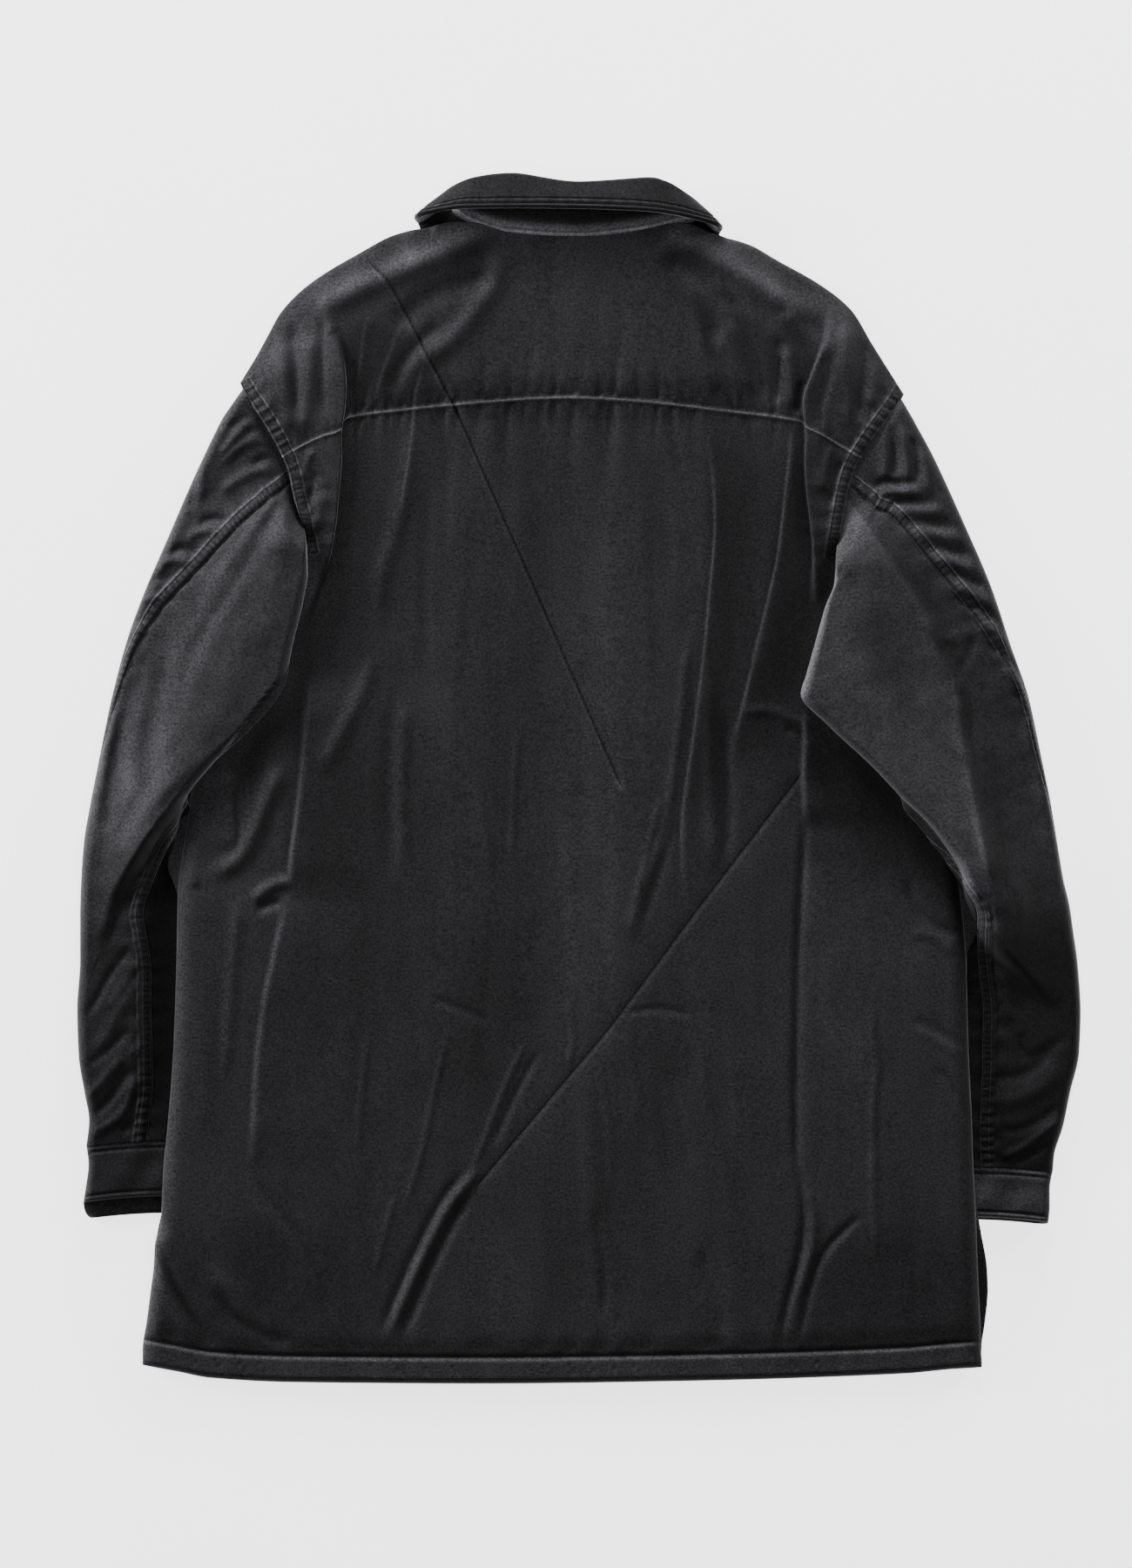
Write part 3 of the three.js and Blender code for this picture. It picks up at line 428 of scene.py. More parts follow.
FINE_FOLDS = listed("""
# left yoke
8 -2.2: -50,350 -65,345 -86,339 -104,332 -120,318 -130,308
7 2: -52,366 -56,351 -60,338 -74,318 -86,303 -103,291 -118,276
5 -1.5: -92,316 -106,304 -116,292 -124,280 -130,262
1.3 1.1 9: -144,326 -146,315 -148,301 -151,281 -153,265 -152,250
1.5 1 14: -120,318 -125,306 -128,297 -132,287 -138,269 -140,256
1.4 1.3 14: -104,294 -107,287 -109,275 -112,263 -113,250 -116,223 -120,197 -123,175
6 1.4: -113,253 -116,223 -120,197 -124,175 -133,149 -138,127 -136,97
5 1.8: -208,306 -203,284 -200,262 -197,238
4 -2: -198,318 -195,290 -195,262 -194,244
5 1.8: -186,310 -185,276 -188,250 -190,234
3.5 -1.5: -178,322 -176,300 -176,270 -174,246
3 1.5: -178,334 -174,326 -171,314 -168,306
3 1.4: -183,228 -188,214 -190,204
3 -1.4: -180,214 -184,196 -187,184
3 1.3: -176,200 -179,180 -184,168
# right yoke
8 -2.6: 56,364 72,350 86,334 94,316 98,296
5 1.8: 70,348 82,330 84,310 86,292 94,276 96,262
5 -2.4: 92,336 106,330 114,312 120,292 126,270 128,254
4 1.6: 100,318 112,300 118,280 122,262
3 -2.2: 136,308 138,296 138,276 136,256
4 1.6: 142,300 146,284 147,268 147,254
3 -1.6: 154,276 154,266 152,250
6 2: 140,324 156,308 166,296 170,284
5 1.8: 186,318 184,290 188,262 186,240
3.5 -1.8: 176,300 174,280 166,256 168,236
4 -1.6: 196,306 198,284 194,260 192,244
4 1.4: 206,290 206,272 200,256
3 1.4: 176,232 170,214 168,196
3 -1.4: 182,222 176,206 174,186
# right back
3 1.1: 78,105 74,77 70,37 66,5 62,-26 61,-37
5 1.2: 62,-35 50,-63 42,-84 36,-112
4 -1: 66,-30 58,-56 50,-80 42,-106
5 1.6: 92,84 89,33 92,-10 94,-53 97,-70
4 -1.2: 101,50 103,10 104,-30 100,-62
3.4 1.1: 112,46 126,48 138,46 150,40 162,34
2.4 -1.2: 142,36 153,31 162,25
3.4 -1.5: 225,-66 231,-84 239,-97 253,-105 267,-108
3.4 0.9: 226,-106 240,-106 250,-112 259,-122
3 -0.7: 228,-163 244,-171 258,-179 268,-186
3 0.5: 230,-171 246,-179 262,-190
3 -1.1: 246,-196 256,-210 264,-226 269,-240
2.2 1.1: 203,-140 202,-172 204,-186 206,-197 202,-226 203,-262 208,-296
# left back
4 2.6: -224,-84 -214,-75 -206,-71 -196,-72
3 -2: -222,-90 -212,-86 -204,-84
1.8 2.4 16: -234,-50 -236,-41 -238,-23 -237,-7 -242,8
4 1.6: -272,-42 -268,-60 -262,-76
4 1.2: -232,-76 -237,-129 -240,-167 -242,-210
6 1.6: -140,88 -148,62 -160,38 -170,20 -176,0
5 -1.1: -128,66 -131,0 -128,-70
4 0.9: -118,60 -122,0 -120,-62
3.6 -1.7: -289,-318 -285,-330 -279,-345 -270,-363 -259,-379 -250,-392
4.5 -1.3: -250,-344 -247,-354 -239,-368 -222,-380 -192,-390
1.8 0.8: -126,-284 -131,-306 -140,-341
2.6 -1.2: 12,-290 15,-318 19,-346 18,-374
3 -1.3: 82,-322 87,-338 97,-362 103,-386
1.8 0.9: 202,-250 202,-280 204,-310 205,-330
1.6 0.8: -2,-107 0,-130 12,-147 18,-161
1.6 0.8: -9,-150 -2,-174 -7,-202
2 -0.9: 30,-161 59,-157 82,-164
1.6 0.8: 28,-171 38,-198 45,-228
1.6 0.8: 11,-184 18,-215 23,-252 23,-286
1.8 0.9: -34,-176 -52,-215 -66,-252 -74,-276
2.4 -1: -26,-184 -46,-222 -60,-256
1.8 0.8: -88,-168 -98,-208 -106,-252 -121,-302
2 -0.9: -102,-150 -73,-161 -60,-168
1.6 0.7: -144,-172 -150,-220 -152,-262
1.6 0.7: 84,-180 88,-220 98,-262 108,-300
2.2 -0.8: 60,-196 72,-236 78,-270
1.6 0.7: -40,40 -44,0 -46,-60
1.6 0.6: -78,20 -66,-20 -58,-70
1.8 0.8: 58,-8 50,-40 38,-90
# soft long rolls down the middle of the back
26 1.2: -60,240 -66,120 -70,0 -78,-120 -90,-250
22 -1.2: -16,250 -14,130 -20,10 -26,-140 -20,-260
24 1.2: 34,240 36,110 30,-40 30,-180 40,-300
""")
PUCKERS = table("""
x: -158 -149 -140 -131 -121 -92 -84 -68 -55 -48 -36 -25 -16 -2 7 16 24 33 42 55 63 73 80 106 113
    121 130 136 176
below: 22 14 26 18 12 20 30 60 18 80 26 62 34 90 26 40 70 24 60 30 110 24 46 20 40 22 30 16 20
above: 16 22 12 16 10 18 12 34 14 24 38 12 26 30 42 14 52 22 30 26 16 30 22 18 22 26 16 30 22
width: 2 1.6 2.2 1.8 1.6 2 1.8 2.4 1.6 2.6 2 2.6 1.8 2.6 1.8 2 2.4 1.7 2.2 1.8 2.6 1.7 2.2 1.8 2.2
    1.8 2 1.6 2
""")


def pucker_height(x, y):
    """Sum of dents hanging off the yoke seam: exp(-(across/width)^2), fading over each length."""
    up = y - yoke_line(x)
    height = np.zeros(np.shape(x))
    for i, (at, below, above, width) in enumerate(zip(*PUCKERS.values())):
        slant = 0.12 * np.sin(2.1 * i) - 0.0007 * at
        across = x - at - slant * up
        wide = width * (1 + np.abs(up) / 40)
        reach = np.where(up > 0, above, below)
        fade = np.exp(-((np.abs(up) / (0.62 * reach)) ** 1.6)) * soft(0.5, 5, np.abs(up))
        deep = 1.0 + 0.45 * np.sin(1.7 * i)
        next_to = across - 2.4 * wide * (1 if i % 3 else -1)
        height -= deep * fade * bump(across, wide)
        height += 0.4 * deep * fade * bump(next_to, 1.5 * wide)
    return height


print(len(BODY_FOLDS), "main folds,", len(FINE_FOLDS), "finer ones,", len(PUCKERS["x"]), "puckers")

# %% [markdown]
# Two quilting lines cross the back, slanting from the shoulder to the hem, and hold the wadding
# down. The hem is turned up and sewn: a groove above it, small puckers hanging on the stitches.

# %% Sewn lines of the body
QUILT_LINES = listed("""
# depth, then the stitched path
1.7: -146,358 -134,347 -127,337 -116,316 -103,290 -86,259 32,-10
0.8: 158,9 82,-90 22,-171 -74,-285
""")
QUILT_ENDS = (0.03, 0.97)


def sewn_height(x, y):
    """Quilting lines as narrow valleys, each pulling down a wider and shallower one."""
    height = np.zeros(np.shape(x))
    for (depth,), line in QUILT_LINES:
        d, along, *_ = from_path(line, x, y)
        narrow, wide = (bump(d, width) for width in QUILT_WIDTHS)
        height -= faded(*QUILT_ENDS, along) * depth * (narrow + 0.35 * wide)
    return height


def hem_height(x, y):
    """Small uneven dents above the hem's stitching, and tucks across the turned-up hem."""
    up = y - hem_line(x)
    wave = np.sin(0.21 * x + 2.0 * np.sin(0.043 * x)) * (0.6 + 0.4 * np.sin(0.017 * x + 1))
    above = bump(up - HEM_DEPTH - 5, 9) * soft(HEM_DEPTH - 1, HEM_DEPTH + 5, up)
    slanted = x + 0.55 * up + 5 * np.sin(0.031 * x)
    tucks = bump(np.sin(0.19 * slanted), 0.24) * (0.6 + 0.4 * np.sin(0.047 * x + 0.8))
    return 0.55 * wave * above - 0.9 * tucks * bump(up - 0.5 * HEM_DEPTH, 6)


def felled(d, along):
    """Sewn band 0 to 8.4 mm from a seam: two stitched valleys in a raised strip, and puckers
    across it whose spacing drifts along its length."""
    strip = soft(-0.3, 0.9, d) * soft(FELL + 0.8, FELL - 0.5, d)
    stitches = sum(bump(d - row, STITCH_WIDTH) for row in STITCH_ROWS)
    beat = np.sin(0.95 * along + 1.4 * np.sin(0.09 * along))
    beat = beat * (0.65 + 0.35 * np.sin(0.043 * along))
    slow = np.sin(0.37 * along + 2.2 * np.sin(0.05 * along))
    outside = np.exp(-np.maximum(d - FELL, 0) / 8) * np.exp(-np.maximum(-d, 0) / 6) * (1 - strip)
    return 1.3 * strip - 0.5 * stitches + (0.42 * beat * strip + 0.5 * slow * outside)


print(len(QUILT_LINES), "quilting lines")

# %% [markdown]
# The back lies on the fronts, and its sides lie on the forearms. Its height is what is under it,
# plus half its thickness, plus the folds. A noise of soft hollows keeps the flat parts from
# looking ironed. It is a sum of a few crossed waves.

# %% What the body lies on
LEFT_INNER = table("""
y: -249 -233 -216 -190 -158 -125 -95 -68 -45 -20 11 33.6 55 66 94 123 142 158
x: -226 -227 -228 -230 -234 -243 -257 -272 -277 -273 -251 -227 -208 -202 -196 -189 -186 -187
""")
RIGHT_INNER = table("""
y: -268 -257 -240 -215 -188 -160 -129 -108 -88 -67 -33 -10 10 37 58 73 98 119 134 147
x: 211 212 213 216 222 232 248 262 267 264 243 220 201 172 153 157 164 170 176 178
""")
ARMS = {
    "left": {"side": -1, "inner": through(LEFT_INNER["y"], LEFT_INNER["x"]), "cap_top": 271,
             "cap_end": 158, "over": -8, "clear": -40, "lift_from": -28, "lift_full": -62},
    "right": {"side": 1, "inner": through(RIGHT_INNER["y"], RIGHT_INNER["x"]), "cap_top": 264,
              "cap_end": 147, "over": -58, "clear": -90, "lift_from": -62, "lift_full": -98},
}
WAVES = 7
BELOW_HANDS = (-402, -298)
LEAF_UP = (245, 280)
LEAF_OUT = (145, 115)


def hollows(x, y, size, seed):
    """Soft hollows from crossed waves of about one size: sum of sin(k.x + phase), mostly -1 to
    1."""
    total = np.zeros(np.shape(x))
    for i in range(WAVES):
        angle = 2.4 * i + 0.7 * seed
        k = 2 * np.pi / (size * (0.75 + 0.11 * ((i * 5 + seed) % WAVES)))
        bend = 0.9 * np.sin(0.4 * k * (y * np.cos(angle) - x * np.sin(angle)) + i)
        total += np.sin(k * (x * np.cos(angle) + y * np.sin(angle)) + bend + 1.9 * i * i + seed)
    return total / 3.2


def body_base(x, y):
    """What the body lies on: the floor, a forearm it rides over, or the collar's front leaves."""
    height = np.zeros(np.shape(x))
    for arm in ARMS.values():
        way = arm["side"] * (x - arm["inner"](y))
        across = soft(-LIFT_SPREAD - 8, -8, way)
        rise = soft(arm["lift_from"] + 50, arm["lift_full"] - 35, y)
        share = rise * soft(*BELOW_HANDS, y)
        height = np.maximum(height, LIFT * across * share)
    leaf = soft(*LEAF_UP, y) * soft(*LEAF_OUT, np.abs(x))
    return np.maximum(height, LEAF_LIFT * leaf)


def shown(x, y):
    """1 where the back shows, 0 where an upper arm lies on it and presses its folds flat."""
    share = np.ones(np.shape(x))
    for arm in ARMS.values():
        on = soft(arm["clear"], arm["over"], y) * soft(arm["cap_end"] + 24, arm["cap_end"] + 4, y)
        way = -arm["side"] * (x - arm["inner"](y))
        share = share * (1 - on * (1 - soft(0, 16, way)))
    return share


def body_edge(x, y, top):
    """How far the edge has rounded up to full thickness, 0.12 to 1, from a quarter circle."""
    free = 40 * soft(UNDERARM - 18, UNDERARM, y)
    side = np.minimum(x - left_side(y), right_side(y) - x) + free
    steep = (top(x + 1) - top(x - 1)) / 2
    in_neck = 40 * soft(NECK_HALF + 14, NECK_HALF, np.abs(x))
    shoulder = (top(x) - y) / np.hypot(1, steep) + in_neck
    return np.maximum(roll(np.minimum(side, shoulder), BODY_ROLL), LEAST_EDGE)


def panel_thick(x, y):
    """One panel: the wadding's thickness, pressed flatter in the hem, with the stitched groove."""
    up = y - hem_line(x)
    pressed = lerp(HEM_THICK, PAD, soft(HEM_DEPTH, HEM_DEPTH + 16, up))
    return (pressed - 1.3 * bump(up - HEM_DEPTH, 1.5)) * np.maximum(roll(up, 5), 0.3)


print("the body rises", LIFT, "mm over a forearm")

# %% [markdown]
# The armholes are felled seams, and the cloth between them is one even sheet. Its face gets the
# folds where it shows, and stays flat under an arm.

# %% Heights of the back
ARMHOLES = listed("""
# the side of the seam that the band lies on, then the seam
1: -236,280 -233,271 -225,259 -215,244 -205,226 -199,212 -196,194 -190,174 -187,150
-1: 232,280 224,264 214,250 203,235 191,216 188,207 184,190 181,170 178,146
""")
BAND_REACH = 36
ARMHOLE_LENGTH = 150


def armhole_band(x, y):
    """The felled armhole seams: the band lies on the body's side of each."""
    height = np.zeros(np.shape(x))
    for (side,), path in ARMHOLES:
        near, d, along, *_ = beside(path, BAND_REACH, x, y)
        height[near] += faded(0.06, 0.94, along) * felled(side * d, ARMHOLE_LENGTH * along)
    return height


def armhole_marks(x, y):
    """Distance in from the nearest armhole seam, and the way along it, both in mm."""
    away, run = np.full(np.shape(x), FAR), np.zeros(np.shape(x))
    for (side,), path in ARMHOLES:
        near, d, along, *_ = beside(path, BAND_REACH, x, y)
        away[near] = side * d / np.maximum(faded(0.04, 0.96, along), 0.02)
        run[near] = ARMHOLE_LENGTH * along
    return away, run


def back_heights(x, y):
    """Heights of the back's inside and face. The yoke seam is a valley with a fine raised edge."""
    middle = body_base(x, y) + PAD + SLIT / 2
    edge = body_edge(x, y, back_top)
    show = shown(x, y)
    folds = np.maximum(fold_height(BODY_FOLDS, x, y), -3) + fold_height(FINE_FOLDS, x, y)
    soft_parts = 0.34 * hollows(x, 0.35 * y, 60, 1) + 0.13 * hollows(x, 0.5 * y, 27, 2)
    fine = pucker_height(x, y) + hem_height(x, y) + soft_parts
    above = y - yoke_line(x)
    seam = -0.15 * bump(above - 2, 2) - 0.15 * bump(above, 6) + 0.7 * bump(above, 1.3)
    crown = -5 * soft(52, 0, back_top(x) - y) * soft(40, 120, np.abs(x))
    lifted = (folds + fine + crown + sewn_height(x, y) + armhole_band(x, y)) * show
    thick = SLIT / 2 + panel_thick(x, y) + np.maximum(lifted, -5)
    return middle + SLIT / 2 * edge, middle + np.maximum(thick + seam * show, LEAST_FACE) * edge


print(len(ARMHOLES), "armholes")

# %% [markdown]
# Light and shade are also painted on the back in strokes, each along a path with an amount and a
# width: below zero a stroke is painted shade, as beside the folds and under the sleeves' edges,
# and above zero it is a painted highlight, as on the shoulders and along fold edges.

# %% Painted light and shade in strokes
PAINTED_LIGHT_STROKES = listed("""
# amount and width, then the path
-0.1 15: 110,250 110,190 108,130 100,70 92,10 88,-40
-0.15 11: 157,250 156,200 152,150 147,110 140,70 134,30
-0.1 18: -148,248 -152,200 -156,150 -164,100 -174,50
-0.07 40: -130,60 -150,-20 -160,-100 -150,-200
-0.15 18: -150,326 -142,304 -136,284 -134,264 -134,250
-0.1 9: -156,306 -158,286 -158,262
-0.12 9: 106,332 116,310 124,288 132,262
-0.12 8: 142,316 150,296 152,276 154,256
0.15 9: -72,373 -100,366 -134,353 -162,341 -190,322
0.1 20: -170,334 -192,318 -206,296 -216,276
0.17 8: 70,367 88,361 112,349 132,337 154,325
0.1 14: 150,330 172,326 190,310 200,296
0.12 5: -58,352 -64,331 -76,317 -90,305 -102,292
0.09 7: -142,77 -152,52 -166,28 -174,8
0.08 30: 40,220 30,120 20,20 10,-80 0,-200
-0.38 11: 168,40 178,27 202,3 226,-27 250,-54 265,-84 270,-110
-0.25 8: -180,130 -186,90 -188,63 -203,39 -221,24 -233,-10 -236,-30
-0.12 22: 190,10 200,-20 206,-50 210,-80
0.1 7: 160,-52 163,-76 160,-110
0.06 5: 157,-100 156,-180 155,-260
0.07 14: 176,-150 184,-185 190,-215
0.14 8: -262,-332 -248,-341 -234,-348 -222,-352
-0.22 3: -289,-316 -285,-330 -279,-345 -270,-363 -259,-381
0.12 4: -296,-300 -290,-340 -281,-364 -270,-382
-0.17 4: -250,-342 -247,-354 -239,-368 -222,-380 -196,-388
0.1 5: -240,-356 -228,-370 -208,-378
-0.1 4: -300,-250 -280,-292 -286,-322
0.07 3: -236,-270 -212,-301 -195,-322 -183,-352
-0.08 4: -104,226 -108,180 -110,120 -106,60
0.07 3: -97,226 -101,180 -103,120 -98,40
0.07 3: -84,236 -88,200 -90,150
-0.07 5: -72,230 -74,170 -80,90 -80,10
0.06 4: -46,232 -44,180 -50,110 -52,40
-0.06 5: -6,234 -2,180 -6,120
0.06 4: 14,234 18,190 16,140 20,60
-0.07 4: 44,232 46,180 50,120 52,60
0.06 4: 62,230 66,180 66,120
-0.07 4: -62,-20 -58,-80 -66,-150 -72,-210
0.06 3: -48,-10 -46,-70 -50,-130
0.06 4: -10,-20 -8,-90 -4,-150
-0.06 5: 10,-200 14,-250 18,-310 20,-370
0.06 4: -4,-210 2,-260 6,-320
-0.07 4: 52,-200 58,-250 62,-300
0.06 4: 100,-150 104,-210 112,-270
-0.07 5: 122,-60 124,-120 126,-190
0.05 5: 112,-40 112,-100 114,-140
-0.06 6: 220,-240 222,-290 226,-340
0.06 5: -260,-120 -264,-170 -266,-220
-0.06 5: -248,-150 -252,-200 -256,-260
-0.1 3: -60,-262 -84,-296 -104,-330 -118,-362 -128,-388
0.08 60: -60,300 0,315 60,300
0.12 12: -84,368 -116,357 -144,346
-0.14 7: 52,352 70,344 82,326 90,304 96,280
0.12 4: 64,356 80,344 90,332
0.1 5: 100,346 112,330 122,312
-0.12 6: 98,322 108,304 116,284 120,262
-0.12 5: 128,312 134,294 136,270
0.12 3: 142,306 146,286 147,262
-0.1 8: -60,346 -84,336 -104,326 -120,312
0.1 4: -112,300 -118,284 -121,268
-0.12 5: -104,296 -110,278 -112,258
-0.07 26: -70,-90 -80,-160 -86,-240
0.06 24: -60,-300 -70,-340 -78,-380
0.05 20: 60,-260 72,-320 84,-380
""")
# amount and reach on the left of the path: painted shade on the cloth that falls away from a
# pushed-over fold
PAINTED_FOLD_SHADOWS = listed("""
# amount and reach on the left of the path: cloth that falls away from a pushed-over fold
-0.2 24: 88,268 90,233 95,201 96,169 92,129 88,85 82,37 79,17 73,-23 72,-60
-0.16 12: 145,268 147,245 147,227 145,203 141,167 138,147 131,118 125,93 116,55 110,30
-0.16 26: 155,74 158,37 158,20 157,5 158,-14
-0.3 3.5: -172,322 -166,308 -163,289 -163,273 -164,255 -167,239 -166,221 -168,201 -170,177 -174,153
    -181,129 -188,109 -197,86
-0.12 16: -166,312 -163,289 -163,273 -164,255 -167,239 -166,221 -168,201 -170,177 -174,153 -181,129
-0.3 3.5: 160,96 164,132 165,158 163,178 160,200 159,222 160,240 157,262 163,276 171,300
""")


def sum_of_painted_strokes(x, y, painted_marks):
    """Sum of painted strokes of light and shade: amount x soft ends x exp(-(d/width)^2)."""
    total = np.zeros(np.shape(x))
    for (amount, width), path in painted_marks:
        near, d, along, *_ = beside(path, 3 * width, x, y)
        total[near] += amount * faded(0.25, 0.75, along) * bump(d, width)
    return total


def painted_step_shadows(x, y):
    """Sum of the one-sided painted shadows: amount x soft ends x exp(-d/reach), for d on the left.
    """
    total = np.zeros(np.shape(x))
    for (amount, reach), path in PAINTED_FOLD_SHADOWS:
        near, d, along, *_ = beside(path, 4 * reach, x, y)
        fall = soft(-0.6, 1.2, d) * np.exp(-np.maximum(d, 0) / reach)
        total[near] += amount * faded(0.15, 0.8, along) * fall
    return total


def evened_painted_light(x, y):
    """Painted light and shade that undo what painted_facing_light paints on the slopes of what
    lies underneath: PAINTED_LIGHT_WAY times the slope, from heights 1 mm to each side."""
    slope_x = (body_base(x + 1, y) - body_base(x - 1, y)) / 2
    slope_y = (body_base(x, y + 1) - body_base(x, y - 1)) / 2
    return 0.95 * (PAINTED_LIGHT_WAY[0] * slope_x + PAINTED_LIGHT_WAY[1] * slope_y)


def quilt_distance(x, y):
    """Signed distance from the nearest quilted or hem line. It grows fast past a line's ends."""
    lines = [y - hem_line(x) - HEM_DEPTH]
    for _, line in QUILT_LINES:
        d, along, *_ = from_path(line, x, y)
        lines.append(d / np.maximum(faded(*QUILT_ENDS, along), 0.02))
    return nearest(*lines)


print(len(PAINTED_LIGHT_STROKES) + len(PAINTED_FOLD_SHADOWS), "painted_strokes")

# %% [markdown]
# Back and yoke share one net of columns, so that their seam closes. The fronts lap at the centre,
# the left one outermost, and are drawn in a little where a sleeve shows past them.

# %% Back, yoke and fronts
def spread(*parts):
    """One rising row of stations from (from, to, count) spans, without repeated ends."""
    spans = [np.linspace(a, b, n, endpoint=False) for a, b, n in parts]
    return np.concatenate(spans + [[parts[-1][1]]])


COLUMNS = spread((0, 0.004, 4), (0.004, 0.026, 6), (0.026, 0.974, 232), (0.974, 0.996, 6),
                 (0.996, 1, 4))
BACK_ROWS = spread((0, 0.012, 8), (0.012, 0.045, 16), (0.045, 0.94, 268), (0.94, 1, 28))
YOKE_ROWS = 1 + spread((0, 0.06, 8), (0.06, 0.9, 52), (0.9, 0.99, 12), (0.99, 1, 4))
FRONT_ROWS = spread((0, 0.045, 12), (0.045, 1, 120), (1, 1.9, 24), (1.9, 2, 12))
SIDE_SHARE = 0.052
MIDDLE_SHARE = 0.948 - SIDE_SHARE
LAP_FROM = SIDE_SHARE + 10 * MIDDLE_SHARE / 22
LAP_TO = SIDE_SHARE + 12 * MIDDLE_SHARE / 22
SEAM_GAP = 0.05


def body_place(u, v, left, right, top, seam_shift=0.0):
    """Plan of the body: x between the sides, y between hem and yoke seam, then on to the top."""
    low = np.minimum(v, 1)
    y = lerp(-410.0, 240.0, low) + 0 * u
    for _ in range(14):
        x = lerp(left(y), right(y), u)
        y = lerp(hem_line(x), yoke_line(x) + seam_shift, low)
    top_x = lerp(SHOULDER["x"][0], SHOULDER["x"][-1], u)
    over = np.clip(v - 1, 0, 1)
    placed_y = np.where(v > 1, lerp(y, top(top_x), over), y)
    placed_x = lerp(x, top_x, over)
    for column, curve, reach in ((0, left, (1 - u) ** 10), (-1, right, u ** 10)):
        miss = curve(placed_y[:, column:][:, :1]) - placed_x[:, column:][:, :1]
        placed_x = placed_x + np.where(v > 1, miss * reach, 0)
    return placed_x, placed_y


def back_sheet(name, rows, seam_shift):
    """Closed wall of the back or yoke from its face and inside."""
    u, v = np.meshgrid(COLUMNS, rows)
    x, y = body_place(u, v, left_side, right_side, back_top, seam_shift)
    low, high = back_heights(x, y)
    leaned = lean(BODY_FOLDS + FINE_FOLDS, x, y)
    free = shown(x, y)
    face = np.stack([lerp(x, leaned[0], free), lerp(y, leaned[1], free), high], -1)
    # the face's painted light and shade: the painted strokes, the painted shadows beside
    # pushed-over folds, and painted light that undoes the painted slope shading over the forearms;
    # the hem band is 0.1 lighter
    hem_band = 0.1 * soft(HEM_DEPTH + 1, HEM_DEPTH - 1, y - hem_line(x))
    painted_strokes = sum_of_painted_strokes(x, y, PAINTED_LIGHT_STROKES) + painted_step_shadows(x, y) + evened_painted_light(x, y) + hem_band
    away, run = armhole_marks(x, y)
    return wall(name, face, np.stack([x, y, low], -1), nap=painted_strokes, seam=y - yoke_line(x),
                quilt=quilt_distance(x, y), band=away, along=run)


def front_sheet(name, columns, layer_of):
    """Closed wall of a front. In the overlap each front keeps its own layer."""
    u, v = np.meshgrid(columns, FRONT_ROWS)
    tuck_left = lambda y: left_side(y) - 9 * soft(6, -12, y) * soft(-80, -58, y)
    tuck_right = lambda y: front_right_side(y) + 10 * soft(-30, -52, y) * soft(-124, -100, y)
    x, y = body_place(u, v, tuck_left, tuck_right, front_top)
    base = body_base(x, y)
    top = base + PAD + SLIT / 2
    edge = body_edge(x, y, front_top)
    layer = layer_of(u)
    upper = np.where(layer == 1, base + LAP_UNDER, top - SLIT / 2 * edge)
    lower = np.where(layer == 2, base + LAP_OVER, lerp(top, base, edge))
    lower = np.where(layer == 1, base, lower)
    return wall(name, np.stack([x, y, upper], -1), np.stack([x, y, lower], -1))


back = back_sheet("padded_back", BACK_ROWS, -SEAM_GAP)
yoke = back_sheet("padded_yoke", YOKE_ROWS, SEAM_GAP)
side_columns = spread((0, 0.026, 9), (0.026, LAP_FROM, 48))
left_columns = np.concatenate([side_columns, [LAP_FROM + 0.0015, 0.5, LAP_TO]])
front_left = front_sheet("left_front", left_columns, lambda u: (u > LAP_FROM + 1e-9) * 1)
right_rest = spread((LAP_TO + 0.0025, 0.974, 48), (0.974, 1, 9))
right_columns = np.concatenate([[LAP_FROM + 0.003, 0.5, LAP_TO], right_rest])
front_right = front_sheet("right_front", right_columns, lambda u: (u <= LAP_TO + 1e-3) * 2)
for piece in (back, yoke, front_left, front_right):
    print(piece.name, len(piece.data.vertices), "points")

# %% [markdown]
# Each sleeve is a flattened tube sewn from three panels. A section of it is two layers joined by a
# rolled fold at each side. A seam is a place on the half turn: 0 at the outer fold, 1 at the inner
# fold over the top, on to 2 round the underside. The seams are felled: the edges are folded into
# one 8 mm band with two rows of stitches, and they draw the cloth into small puckers.

